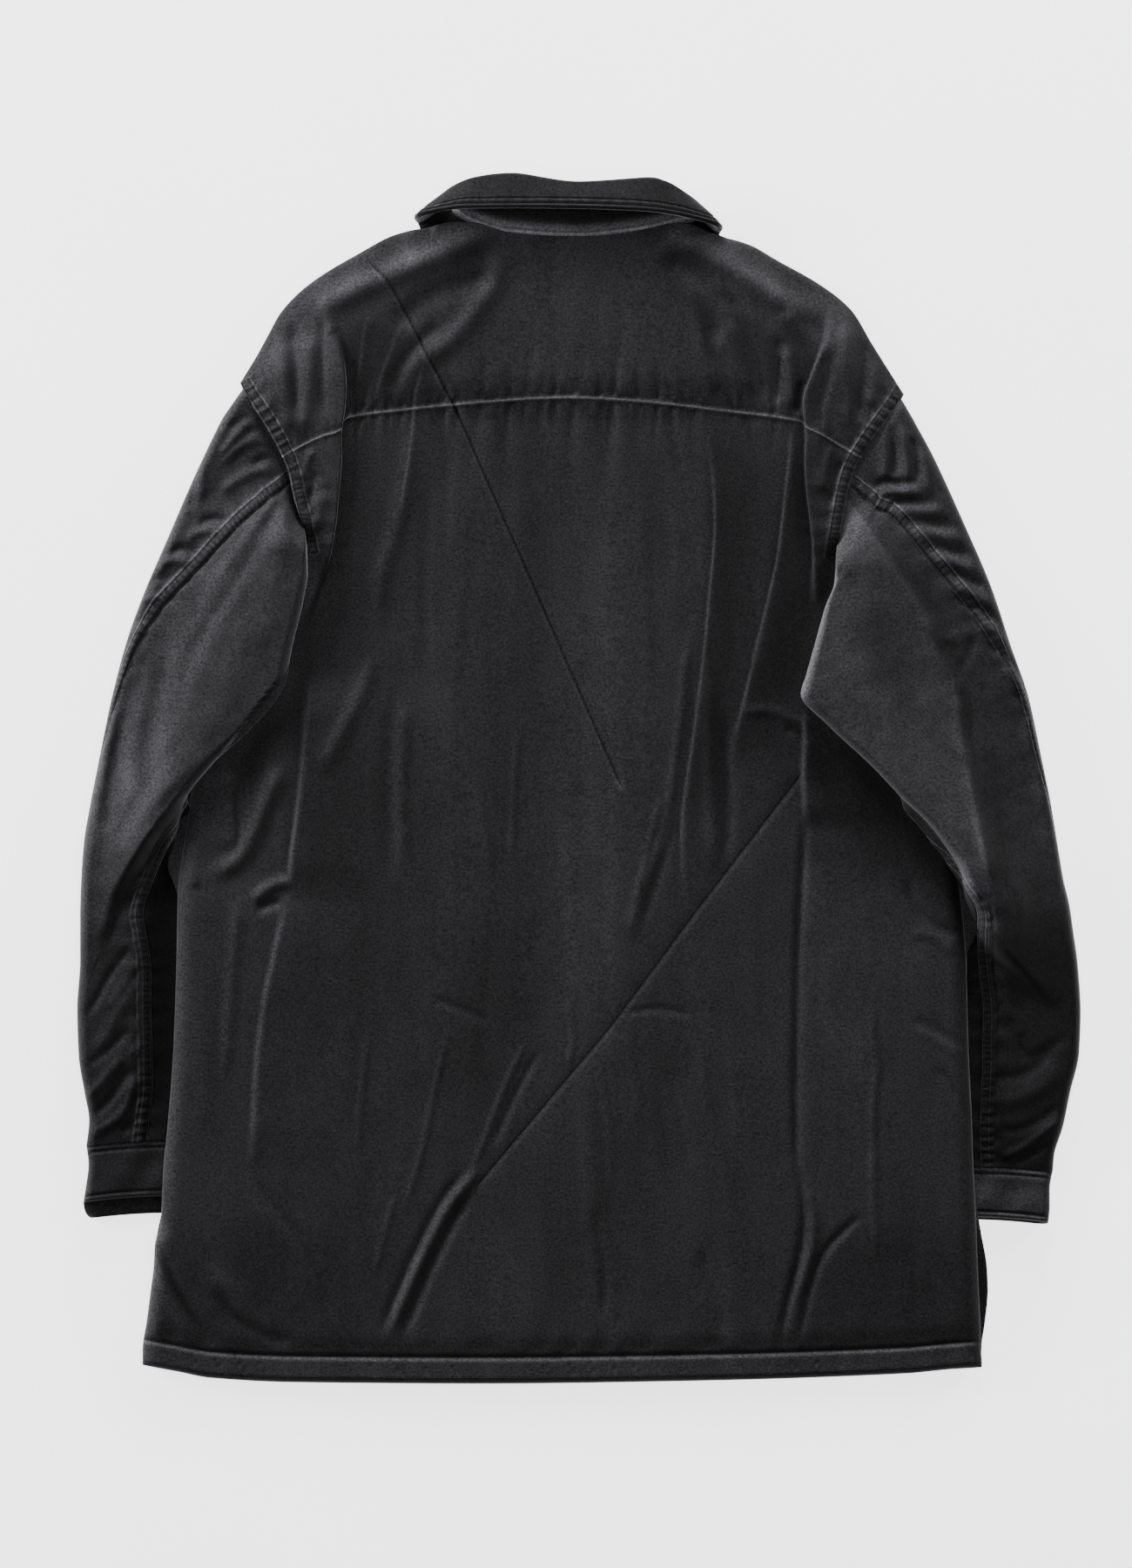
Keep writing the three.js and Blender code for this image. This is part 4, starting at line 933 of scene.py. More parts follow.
# %% Sizes and folds of the sleeves
# stations from cap to cuff: outer and inner edge, height, turn of the outer and the under seam
STATIONS = {"left": table("""
ox: -233 -245 -263 -283 -301 -312 -322 -330 -337 -341 -343 -344 -344 -346 -345 -341 -338 -340
oy: 271 251 214 168 126 95 57 18 -18 -42 -67 -95 -125 -158 -190 -215 -232 -249.5
ix: -187 -186 -189 -196 -202 -208 -227 -251 -273 -277 -272 -257 -243 -234 -230 -228 -227 -226
iy: 158 142 123 94 66 55 33.6 11 -20 -45 -68 -95 -125 -158 -190 -216 -233 -249
height: 17 18 19 20 20 21 22 23 25 26 24 22 22 22 22 20 18 15
elbow: 0.565 0.53 0.436 0.32 0.209 0.156 0.107 0.055 -0.02 -0.08 -0.12 -0.14 -0.16 -0.17 -0.18
    -0.19 -0.19 -0.2
under: 1.45 1.45 1.45 1.45 1.45 1.42 1.36 1.25 1.09 0.9 0.7 0.51 0.49 0.468 0.457 0.433 0.4 0.39
"""), "right": table("""
ox: 224 231 245 267 285 299 311 320 326 331 335 339 342 345 347 346 340 335 329 328
oy: 264 250 224 176 134 92 57 15 -15 -45 -69 -86 -106 -128 -160 -188 -215 -238 -256 -267
ix: 178 176 170 164 157 153 172 201 220 243 264 267 262 248 232 222 216 213 212 211
iy: 147 134 119 98 73 58 37 10 -10 -33 -67 -88 -108 -129 -160 -188 -215 -240 -257 -268
height: 17 18 19 20 21 22 22 23 24 25 26 26 25 24 23 22 21 20 17 15
elbow: 0.518 0.518 0.423 0.322 0.233 0.162 0.124 0.1 0.06 0.02 -0.03 -0.07 -0.1 -0.13 -0.15 -0.17
    -0.18 -0.19 -0.2 -0.2
under: 1.45 1.45 1.45 1.45 1.45 1.45 1.4 1.35 1.28 1.16 1.02 0.88 0.8 0.678 0.574 0.535 0.5 0.478
    0.45 0.44
""")}
# stations of the cuffs: outer and inner edge, and how far the lower layer shows past the upper
CUFFS = {"left": table("""
ox: -340 -338.5 -340 -342
oy: -248.4 -262 -275 -288
ix: -226 -226 -226.5 -227
iy: -248 -262 -275 -287
drop: 0 -4 -8 -12
"""), "right": table("""
ox: 328 326 326 325
oy: -266 -279 -291 -302
ix: 211 211 210.5 210
iy: -267 -280 -291 -302
drop: 0 0 -1 -2
""")}
# the first fold is the elbow's overhang
SLEEVE_FOLDS = {"left": listed("""
4 4 30: -330,-120 -321,-95 -316,-80 -301,-57 -288,-38 -271,-16
26 2: -205,150 -240,90 -285,30 -315,-40
5 2.5: -302,-141 -311,-150 -320,-168 -332,-189
4 3: -311,-190 -317,-195 -329,-210 -342,-222
"""), "right": listed("""
4 5 30: 238,-42 256,-50 261,-65 267,-82 281,-115 303,-134 331,-160
26 2: 195,150 225,95 262,30 290,-30
4 2.6: 222,140 238,114 247,87 261,66 263,33 269,-3 277,-39 285,-87
6 2.5: 284,-225 303,-220 321,-212 336,-195
""")}
FINE_SLEEVE_FOLDS = {"left": listed("""
2.6 -2: -221,256 -232,249 -242,240
2.6 1.8: -218,250 -230,243 -240,232 -248,222
2.6 -2: -210,238 -221,242 -232,239
3 1.8: -209,232 -222,235 -236,228 -246,216
3 -2.2: -203,217 -214,223 -226,216
4 1.8: -206,212 -220,214 -236,206 -248,196
4 1.6: -262,226 -258,206 -262,192
3.5 -1.7: -268,212 -264,198 -270,184
3 -1.9: -240,178 -252,180 -262,176
3 1.7: -246,170 -258,172 -270,166
3 -2: -262,156 -272,160 -282,156
3 1.8: -268,148 -280,152 -290,146
3 -1.9: -280,136 -290,140 -298,134
3 1.6: -288,124 -298,126 -306,118
3 -1.6: -296,110 -304,110 -311,104
3 1.5: -304,92 -311,90 -316,84
5 -2.4: -200,204 -205,190 -211,176 -221,159 -233,138 -250,113 -264,90 -272,60
4 1.2: -206,200 -214,186 -226,168 -242,146 -258,122
5 1.3: -196,196 -202,176 -206,152 -208,126
4 -1.2: -208,160 -206,144 -202,128
5 -1.5: -280,96 -288,60 -296,20 -298,-20
5 1.6: -290,90 -300,50 -308,10 -310,-34
4 -1.5: -308,60 -316,24 -322,-14 -324,-50
4 1.4: -318,50 -325,16 -330,-22 -332,-60
5 1.6: -250,26 -268,6 -288,-12 -304,-36
5 -1.5: -266,32 -288,8 -308,-22 -320,-56
3 -2.6: -304,-111 -314,-123 -323,-135 -332,-153 -341,-166
3.4 1.6: -300,-122 -308,-132 -316,-146 -326,-160
3 -2: -306,-170 -314,-177 -326,-189 -340,-198
3.4 -2.6: -306,-198 -313,-206 -322,-221 -337,-234
3.4 2.8: -304,-200 -308,-219 -314,-230 -323,-238 -340,-247
3 -1.6: -302,-228 -308,-238 -316,-245
2.4 1.2: -300,-180 -304,-188 -310,-186
"""), "right": listed("""
3.4 1.9: 208,242 212,222 210,204
2.8 -1.9: 214,246 219,228 218,206
3 1.9: 222,246 227,226 226,204 230,188
2.8 -1.8: 230,238 234,220 234,204
3 1.5: 238,228 241,212 242,196
2.4 -2.2: 202,200 211,206 222,204 236,206
2.4 2: 206,194 216,199 228,197 240,200
2.4 -2.2: 210,188 222,192 236,190 248,194
2.6 2: 216,181 228,186 242,184 256,186
2.6 -2.2: 222,174 236,178 250,174 262,177
2.6 2: 229,166 242,170 256,166 268,168
2.6 -2.2: 236,158 250,160 262,155 272,158
2.6 2: 243,149 256,151 268,145 278,148
2.6 -2: 250,140 263,141 274,134 284,136
2.6 1.9: 257,131 270,130 281,122 289,124
2.6 -1.9: 266,119 277,118 287,109 294,110
3 1.7: 274,107 284,105 293,95 299,94
3 -1.7: 283,92 292,88 300,78 305,76
3 1.5: 291,78 299,72 306,60
3 -1.4: 299,60 306,52 311,40
4 1.4: 192,188 204,166 218,140 236,112 246,92
4 -2.2: 230,140 246,114 256,88 269,62 270,33 277,-6 285,-44
3 -2: 250,94 258,90 264,92
3 -1.8: 262,74 268,84 274,100
7 -1.4: 182,150 190,120 200,84 214,46
5 1.6: 236,62 244,36 258,22 276,8
5 2: 238,114 246,100 254,92 264,90
9 -1.8: 262,56 272,24 288,2 302,-30
5 1.6: 262,4 270,-20 278,-44 284,-70
5 -1.6: 290,66 304,30 314,-6 320,-50
4 1.4: 256,-62 264,-92 276,-110
4 -1.6: 264,-76 274,-104 290,-118
5 2.4: 296,-64 306,-84 304,-104 297,-114
4 -2.2: 286,-156 296,-170 304,-184 310,-194 327,-183 341,-174
3 1.4: 292,-152 302,-164 306,-178
4 -2.2: 284,-204 298,-206 314,-200 330,-184
3.4 -2.2: 286,-238 298,-243 315,-238 334,-222
3 2.6: 286,-262 303,-257 321,-243 336,-231
3 -1.6: 300,-266 314,-259 328,-250
""")}
# painted light and shade along the sleeves' folds and creases: amount and width, then the path
SLEEVE_PAINTED_STROKES = {"left": listed("""
-0.13 7: -212,170 -219,150 -232,124 -245,99 -260,60 -274,24 -278,-20
0.1 8: -232,168 -250,134 -268,104 -286,70
0.09 7: -312,62 -314,40 -312,12 -306,-20
0.08 6: -284,48 -286,20 -292,-8
-0.09 6: -296,60 -300,20 -300,-20
-0.08 12: -230,90 -244,50 -262,14
0.07 8: -206,150 -210,120 -214,90
"""), "right": listed("""
-0.06 9: 172,142 164,104 158,72 153,58
0.05 16: 180,140 182,100 186,60
-0.1 14: 196,130 206,96 216,60 232,30
0.08 10: 186,96 196,66 214,40
-0.16 4: 246,97 254,91 262,95
-0.14 4: 268,104 270,94 276,92
-0.16 4: 256,64 264,58 268,64
0.12 3: 252,104 262,100 270,108
0.12 3: 260,66 268,68
0.16 3: 264,36 268,6 274,-34 282,-76
-0.12 8: 280,30 284,0 290,-40 296,-80
0.08 7: 306,30 314,-10 318,-60
-0.1 5: 256,-34 264,-42 272,-56
""")}
# nap tone and painted light of the back panel before and past its long crease, painted shade of
# the forearm, and whether painted shade falls just past the crease itself
CREASES = {"left": listed("""
0.02 0.04 -0.14 0: -222,190 -240,150 -262,100 -278,50 -290,0 -300,-60
"""), "right": listed("""
0.13 -0.04 -0.3 1: 210,158 222,140 238,114 247,87 261,66 263,33 269,-3 277,-39 285,-87
""")}
# painted shade on the left cuff and painted light on the right one
CUFF_PAINTED_LIGHT = {"left": -0.1, "right": 0.2}
CORNER = 0.14
FRONT_SEAM = -0.35
STITCH_REACH = 30
SEAM_TURN = 0.0004
TURN_WIDTHS = 1.12
LEAST_TOP = 3.2
# painted highlight along a sleeve's inner fold, and painted shade over the under panel's upper
# layer
INNER_FOLD_HIGHLIGHT = 0.42
UNDER_SHADE = 0.4
SLEEVE_STEPS = 241
CUFF_STEPS = (33, 240)
CUFF_LINES = (4.2, 5.2)
print(sum(len(folds) for folds in FINE_SLEEVE_FOLDS.values()), "fine folds on the sleeves")

# %% [markdown]
# An arm's upper layer rides over the body's edge down to the elbow, and the forearm passes under
# the body's side. So a sleeve's floor and ceiling change along it, and its folds fade where it is
# covered.

# %% Sleeves
def round_section(turn, width, radius):
    """Way across a section as a share of its width, how far its edge has rounded up (sine over
    each rolled corner), and whether it is the upper layer."""
    wrapped = np.mod(turn, 2)
    over = wrapped <= 1
    t = np.where(over, wrapped, 2 - wrapped)
    near = np.minimum(t, 1 - t)
    angle = np.clip(near / CORNER, 0, 1) * np.pi / 2
    bent = radius * (1 - np.cos(angle))
    flat = lerp(radius, width - radius, (t - CORNER) / (1 - 2 * CORNER))
    way = np.where(near < CORNER, np.where(t > 0.5, width - bent, bent), flat)
    return way / width, np.where(near < CORNER, np.sin(angle), 1.0), over


def bow(share):
    """How far a sleeve's end bows out across its width, in mm."""
    return END_BOW * (2 * share - 1) ** 2


def make_sleeve(side):
    """Three closed panels of one sleeve, each a wall over (station, turn)."""
    arm, curve = ARMS[side], curves(STATIONS[side])
    main_folds = SLEEVE_FOLDS[side]
    body_side = left_side if side == "left" else right_side
    last = len(STATIONS[side]["ox"]) - 1
    stations = np.linspace(0, last, SLEEVE_STEPS)
    middle = [(curve["o" + a](stations) + curve["i" + a](stations)) / 2 for a in "xy"]
    run = np.concatenate([[0], np.cumsum(np.hypot(*(np.diff(m) for m in middle)))])

    def place(s, share):
        """Plan: across the sleeve at a station. The first station is on the armhole seam."""
        at = np.maximum(s, 1)
        x = lerp(curve["ox"](at), curve["ix"](at), share)
        y = lerp(curve["oy"](at), curve["iy"](at), share)
        y = y - bow(share) * soft(last - 3, last, at)
        cap_y = lerp(arm["cap_top"], arm["cap_end"], share)
        cap_x = body_side(cap_y) + arm["side"] * CAP_GAP
        t = np.minimum(s, 1)
        return lerp(cap_x, x, t), lerp(cap_y, y, t)

    def levels(s, x, y, share):
        """Floor, ceiling and folds: the arm rides on the body's edge, or lies under its side."""
        inboard = -arm["side"] * (x - body_side(y))
        sewn_in = soft(arm["cap_end"] + 22, arm["cap_end"] - 1, y)
        past = lerp(sewn_in, soft(arm["cap_end"] + 58, arm["cap_end"] - 1, y), soft(0, 1, s))
        ride = (BODY_THICK + RIDE_CLEAR) * past
        floor = ride * soft(arm["clear"], arm["over"], y) * soft(-38, -10, inboard)
        tall = curve["height"](s)
        hang = from_path(rounded(main_folds[0][1]), x, y)[0]
        slope = ride * soft(-5, 7, hang) * soft(0.05, 0.8, share)
        covered = soft(-30, -2, inboard) * soft(arm["lift_from"] - 8, arm["lift_full"], y)
        spare = np.maximum(tall - (LIFT - RIDE_CLEAR), 0) * covered
        folds = fold_height(main_folds, x, y) + fold_height(FINE_SLEEVE_FOLDS[side], x, y)
        folds = folds + 0.3 * hollows(x, y, 38, 3) + 0.15 * hollows(x, y, 17, 5)
        return floor, slope + tall - spare, folds * (1 - covered) * soft(0, 1, s)

    def painted_strokes(x, y):
        """Painted light and shade of the back panel: nap tone and painted light before and past
        its long crease, painted shade just past it, then the forearm's painted shade; and the sum
        of the painted strokes.
        """
        (before, after, forearm, shade_past_crease), crease = CREASES[side][0]
        d = from_path(rounded(crease), x, y)[0]
        past = soft(-2, 4, d)
        upper = lerp(before, after, past)
        upper = upper - 0.12 * past * np.exp(-np.maximum(d, 0) / 9) * shade_past_crease
        return lerp(upper, forearm, soft(-84, -128, y)), sum_of_painted_strokes(x, y, SLEEVE_PAINTED_STROKES[side])

    def panel(part, start, end, columns, banded):
        """The wall between two seams, its seam bands raised and its painted light and shade laid
        on.
        """
        s = stations[:, None] + np.zeros(columns + 1)
        a, b = start(s) + SEAM_TURN, end(s) - SEAM_TURN
        turn = lerp(a, b, np.linspace(0, 1, columns + 1))
        x0, y0 = place(s, 0.0)
        x1, y1 = place(s, 1.0)
        width = np.hypot(x0 - x1, y0 - y1)
        share, edge, over = round_section(turn, width, SLEEVE_ROLL)
        x, y = place(s, share)
        floor, ceiling, folds = levels(s, x, y, share)
        along = np.interp(s, stations, run)
        per_turn = TURN_WIDTHS * width
        from_start, to_end = (turn - a) * per_turn, (b - turn) * per_turn
        sewn = -0.8 * (bump(from_start, 1.5) + bump(to_end, 1.5))
        if banded:
            sewn = sewn + felled(to_end, along)
        else:
            sewn = sewn + felled(-to_end, along) * (to_end < STITCH_REACH)
        sewn = sewn + felled(-from_start, along) * (from_start < STITCH_REACH)
        half, mid = (ceiling - floor) / 2, (floor + ceiling) / 2
        if part == "back":
            folds = folds * lerp(1, 0.5, soft(2, 18, from_start))
        top = half + folds + sewn * soft(0, 0.6, s)
        z = mid + np.where(over, np.maximum(top, LEAST_TOP), -half) * edge
        z = z - 1.6 * soft(0.35, 0, s) * over
        low = np.where(over, 0.0, np.mod(turn, 2) - 1)
        tuck = 11 * soft(-6, -24, y) * soft(-128, -104, y)
        x = x - arm["side"] * (tuck * soft(0, 0.1, low) * soft(0.55, 0.16, low))
        inside = 0.5 + (share - 0.5) * (1 - 2 * SLEEVE_INSET / width)
        xi, yi = place(s, inside)
        floor_i, ceiling_i, _ = levels(s, xi, yi, inside)
        least = np.where(share > 0.5, 0.6, 0)
        lift = np.where(over, SLEEVE_AIR, -SLEEVE_AIR) * np.maximum(edge, least)
        zi = (floor_i + ceiling_i) / 2 + lift
        # painted highlight along the inner fold, painted shade on the under panel's upper layer,
        # and on the back panel the painted light and shade of its crease, its forearm and its
        # strokes
        painted_sleeve_light = INNER_FOLD_HIGHLIGHT * bump((1 - share) * width, 5) * over * soft(-100, -60, y)
        if part == "under":
            painted_sleeve_light = painted_sleeve_light - UNDER_SHADE * over
        if part == "back":
            crease_shading, painted_marks = painted_strokes(x, y)
            painted_sleeve_light = painted_sleeve_light + crease_shading * over + painted_marks * over
        narrow = 1 if part == "outer" else 1.6
        return wall(f"sleeve_{side}_{part}_panel", np.stack([x, y, z], -1),
                    np.stack([xi, yi, zi], -1), nap=painted_sleeve_light, along=along,
                    band=narrow * to_end if banded else FAR + 0 * x)

    front = lambda s: FRONT_SEAM + 0 * s
    round_front = lambda s: FRONT_SEAM + 2 + 0 * s
    return [
        panel("outer", front, curve["elbow"], 80, True),
        panel("back", curve["elbow"], curve["under"], 96, True),
        panel("under", curve["under"], round_front, 64, False),
    ]


sleeves = {side: make_sleeve(side) for side in ("left", "right")}
for side, panels in sleeves.items():
    print(side, "sleeve:", [len(panel.data.vertices) for panel in panels], "points")

# %% [markdown]
# A cuff is a band sewn to a ring and pressed flat. Its ring starts where the sleeve ends, so both
# bow out by the same few millimetres.

# %% Cuffs
def make_cuff(side):
    """Cuff as a flattened ring: its upper layer has a sewn band at the top and one at the edge."""
    curve = curves(CUFFS[side])
    s = np.linspace(0, 3, CUFF_STEPS[0])[:, None] + np.zeros(CUFF_STEPS[1])
    turn = np.linspace(0, 2, CUFF_STEPS[1], endpoint=False) + 0 * s
    width = np.hypot(curve["ox"](s) - curve["ix"](s), curve["oy"](s) - curve["iy"](s))
    share, edge, over = round_section(turn, width, CUFF_ROLL)
    y_top = lerp(curve["oy"](0.0), curve["iy"](0.0), share) - bow(share)
    grids = []
    for face in ("outer", "inner"):
        at = share if face == "outer" else 0.5 + (share - 0.5) * (1 - 2 * CUFF_WALL / width)
        x = lerp(curve["ox"](s), curve["ix"](s), at)
        y = lerp(curve["oy"](s), curve["iy"](s), at) + np.where(over, 0, curve["drop"](s) * edge)
        y = y - bow(at)
        half = CUFF_THICK / 2 - CUFF_WALL
        if face == "outer":
            up, down = y - y[-1:, :], y_top - y
            low_line, high_line = up - CUFF_LINES[0], down - CUFF_LINES[1]
            lines = -1.6 * soft(2.6, 0.4, down) - (bump(low_line, 1.0) + bump(high_line, 0.9))
            rounding = np.maximum(roll(up, 2.5), 0.45)
            drag = 0.45 * hollows(x, y, 26, 4)
            half = lerp(half, CUFF_THICK / 2, rounding) + (lines + drag) * over
            stitched = np.where(over, nearest(low_line, high_line), FAR)
        z = CUFF_THICK / 2 + np.where(over, half, -np.minimum(half, CUFF_THICK / 2)) * edge
        grids.append(np.stack([x, y, z], -1))
    return wall(f"cuff_{side}_band", *grids, tube=True, nap=CUFF_PAINTED_LIGHT[side], quilt=stitched)


cuffs = {side: make_cuff(side) for side in ("left", "right")}
print("cuffs:", [len(cuff.data.vertices) for cuff in cuffs.values()], "points")

# %% [markdown]
# The collar has two parts, as a shirt's: a stand round the neck, and a leaf that turns down over
# it. Each is a band through a table of stations from the left front point round the back of the
# neck to the right one. The leaf's edge is stitched twice, and the neck seam is taped above.

# %% Collar
# stations of the sewn edge (s) and the free edge (t)
STAND = table("""
sx: -1.5 -24 -49 -71 -86 -84 -70 -50 0 50 66 79 80 67 49 24 1.5
sy: 334 339 353 374 391 389 382 376 372.8 378.5 382.5 385 386 373 353 339 334
sz: 11 11 11 11 12 17.4 18 18 18 18 18 17.4 12 11 11 11 11
tx: -1.5 -22 -45 -64 -79 -77 -65 -46 0 42 57 70 71 59 44 22 1.5
ty: 358 361 372 387 399 403 409 412 408 410 407 399 395 384 371 361 358
tz: 11 11 11 11 14 24 31 33.4 34.4 33.4 31 24 14 11 11 11 11
""")
LEAF = table("""
sx: -2 -30 -60 -80 -88 -90 -87 -70 -45 0 48 60 78 81 79 72 56 30 2
sy: 363 368 384 396 401 402 405 413.5 416 410 413 410.5 398 396 395 391 382 368 363
sz: 2.6 2.6 2.6 2.8 7 17 28 34 36 37 36 34 28 17 7 2.8 2.6 2.6 2.6
tx: -22 -52 -84 -102 -111 -112.5 -110 -78 -47 0 50 66 96 99 98 92 78 52 22
ty: 298 290 330 362 385 386 387 391.5 391.5 391 389 387 380.5 379 378 358 330 290 298
tz: 2.6 2.6 2.6 2.8 6 18 32 42 45 46 45 42 32 18 6 2.8 2.6 2.6 2.6
""")
BAND_STEPS = (321, 25)
TAPE = 5.6
LEAF_ROWS = (2.6, 6.6)
# painted shade over the whole leaf
LEAF_PAINTED_SHADE = -0.36


def make_band(name, stations, detail, way=1):
    """Even sheet about the surface between two curves: middle plus or minus half its thickness
    along the cross product of the way along and the way across. Its detail gives heights and marks
    from the station and the distances to both edges."""
    curve = curves(stations)
    last = len(stations["sx"]) - 1
    s, t = np.meshgrid(*(np.linspace(0, end, count) for end, count in zip((last, 1), BAND_STEPS)),
                       indexing="ij")

    def middle(at, share):
        """Place in mm, a share of the way from the sewn edge to the free one."""
        return np.stack([lerp(curve["s" + a](at), curve["t" + a](at), share) for a in "xyz"], -1)

    along = middle(np.minimum(s + 0.2, last), t) - middle(np.maximum(s - 0.2, 0), t)
    across = middle(s, 1.0) - middle(s, 0.0)
    normal = np.cross(along, across)
    normal *= way / np.linalg.norm(normal, axis=-1, keepdims=True)
    deep = np.linalg.norm(across, axis=-1)
    ends = np.maximum(roll(t * deep, 2.2) * roll((1 - t) * deep, 2.2), 0.35)
    half = COLLAR_THICK / 2 * ends[..., None]
    extra, marks = detail(s, t * deep, (1 - t) * deep)
    centre = middle(s, t)
    return wall(name, centre + normal * (half + extra[..., None] * ends[..., None]),
                centre - normal * half, **marks)


def stand_detail(s, up, down):
    """A tape sewn along the neck seam: a raised strip between two stitched lines. The stand's
    lowest 8 mm, in the leaf's shadow, are painted light, fading out by 15 mm.
    """
    tape = 0.8 * soft(0, 1, up) * soft(6.5, 5.2, up) - 0.6 * bump(up - TAPE, 0.8)
    return tape, {"nap": 0.85 * soft(15, 8, up), "quilt": up - TAPE}


def leaf_detail(s, down, up):
    """Two rows of stitches along the leaf's edge, with the cloth a little full between them. The
    whole leaf is painted darker: painted shade.
    """
    fullness = 0.35 * np.sin(2.3 * s + np.sin(5.1 * s)) * bump(up - 10, 7)
    stitches = sum(bump(up - row, 0.9) for row in LEAF_ROWS)
    away = np.abs(up - sum(LEAF_ROWS) / 2) - (LEAF_ROWS[1] - LEAF_ROWS[0]) / 2
    return fullness - stitches, {"nap": LEAF_PAINTED_SHADE, "band": away + STITCH_ROWS[1], "along": 20 * s}


stand = make_band("collar_stand_band", STAND, stand_detail)
leaf = make_band("collar_leaf_band", LEAF, leaf_detail, -1)
print("collar:", len(stand.data.vertices), len(leaf.data.vertices), "points")

# %% [markdown]
# Shader sums read better as sums. One small class wraps a node socket, so that heights and colours
# can be written as expressions, and each operator adds the Math node that it stands for.

# %% Shader arithmetic
class Sock:
    """A node socket with arithmetic: a + b adds a Math node, and so on."""

    def __init__(self, tree, out=None):
        self.tree, self.out = tree, out

    def node(self, kind, settings, inputs, output=0):
        """One output of a new node: its type, settings and inputs, numbers or sockets."""
        made = self.tree.nodes.new("ShaderNode" + kind)
        for key, value in settings.items():
            setattr(made, key, value)
        for key, value in inputs.items():
            if isinstance(value, Sock):
                self.tree.links.new(value.out, made.inputs[key])
            else:
                made.inputs[key].default_value = value
        return Sock(self.tree, made.outputs[output])

    def math(self, operation, *values, clamp=False):
        """A Math node."""
        settings = {"operation": operation, "use_clamp": clamp}
        return self.node("Math", settings, dict(enumerate(values)))

    def stored(self, name):
        """The number that each point of the mesh carries under a name."""
        return self.node("Attribute", {"attribute_name": name}, {}, 2)

    def noise(self, place, scale, detail):
        """Cloudy noise about 0.5, its size 1/scale of a metre."""
        return self.node("TexNoise", {}, {"Vector": place, "Scale": scale, "Detail": detail})

    def bell(self, value, width):
        """exp(-(value/width)^2)."""
        q = value * (1.0 / width)
        return self.math("EXPONENT", q * q * -1.0)

    def __add__(self, other):
        return self.math("ADD", self, other)

    def __radd__(self, other):
        return self.math("ADD", other, self)

    def __sub__(self, other):
        return self.math("SUBTRACT", self, other)

    def __rsub__(self, other):
        return self.math("SUBTRACT", other, self)

    def __mul__(self, other):
        return self.math("MULTIPLY", self, other)

    def __rmul__(self, other):
        return self.math("MULTIPLY", other, self)


def new_material(name, make):
    """A material whose principled shader gets the inputs that make works out in its node tree."""
    material = bpy.data.materials.new(name)
    material.use_nodes = True
    material.node_tree.nodes.clear()
    start = Sock(material.node_tree)
    shader = start.node("BsdfPrincipled", {}, make(start))
    end = start.tree.nodes.new("ShaderNodeOutputMaterial")
    start.tree.links.new(shader.out, end.inputs["Surface"])
    return material


print("a node socket adds up as a number does")

# %% [markdown]
# Velveteen is woven cotton with a short dense pile. The base is almost black, and the shader's
# sheen lightens turned edges while flat cloth stays dark. Most of the light and shade, though, is
# painted into the base colour: it is 14 to the power of the painted light and shade that each
# point stores, with painted shade in the puckers and quilted valleys, painted highlights on the
# sewn bands' edges, on the yoke seam's cord and beside the valleys, and painted light and shade
# across the bands' puckers. The nap lies unevenly: it is a little lighter in soft patches. Two
# fine noises give the pile its grain.

# %% Velveteen
CHARCOAL = (0.0135, 0.0132, 0.0145)
SHEEN_TINT = (0.88, 0.87, 0.93, 1.0)
PAINTED_LIGHT_BASE = 14.0
BAND_MIDDLE = 4.2
ROW_AWAY = 2.7


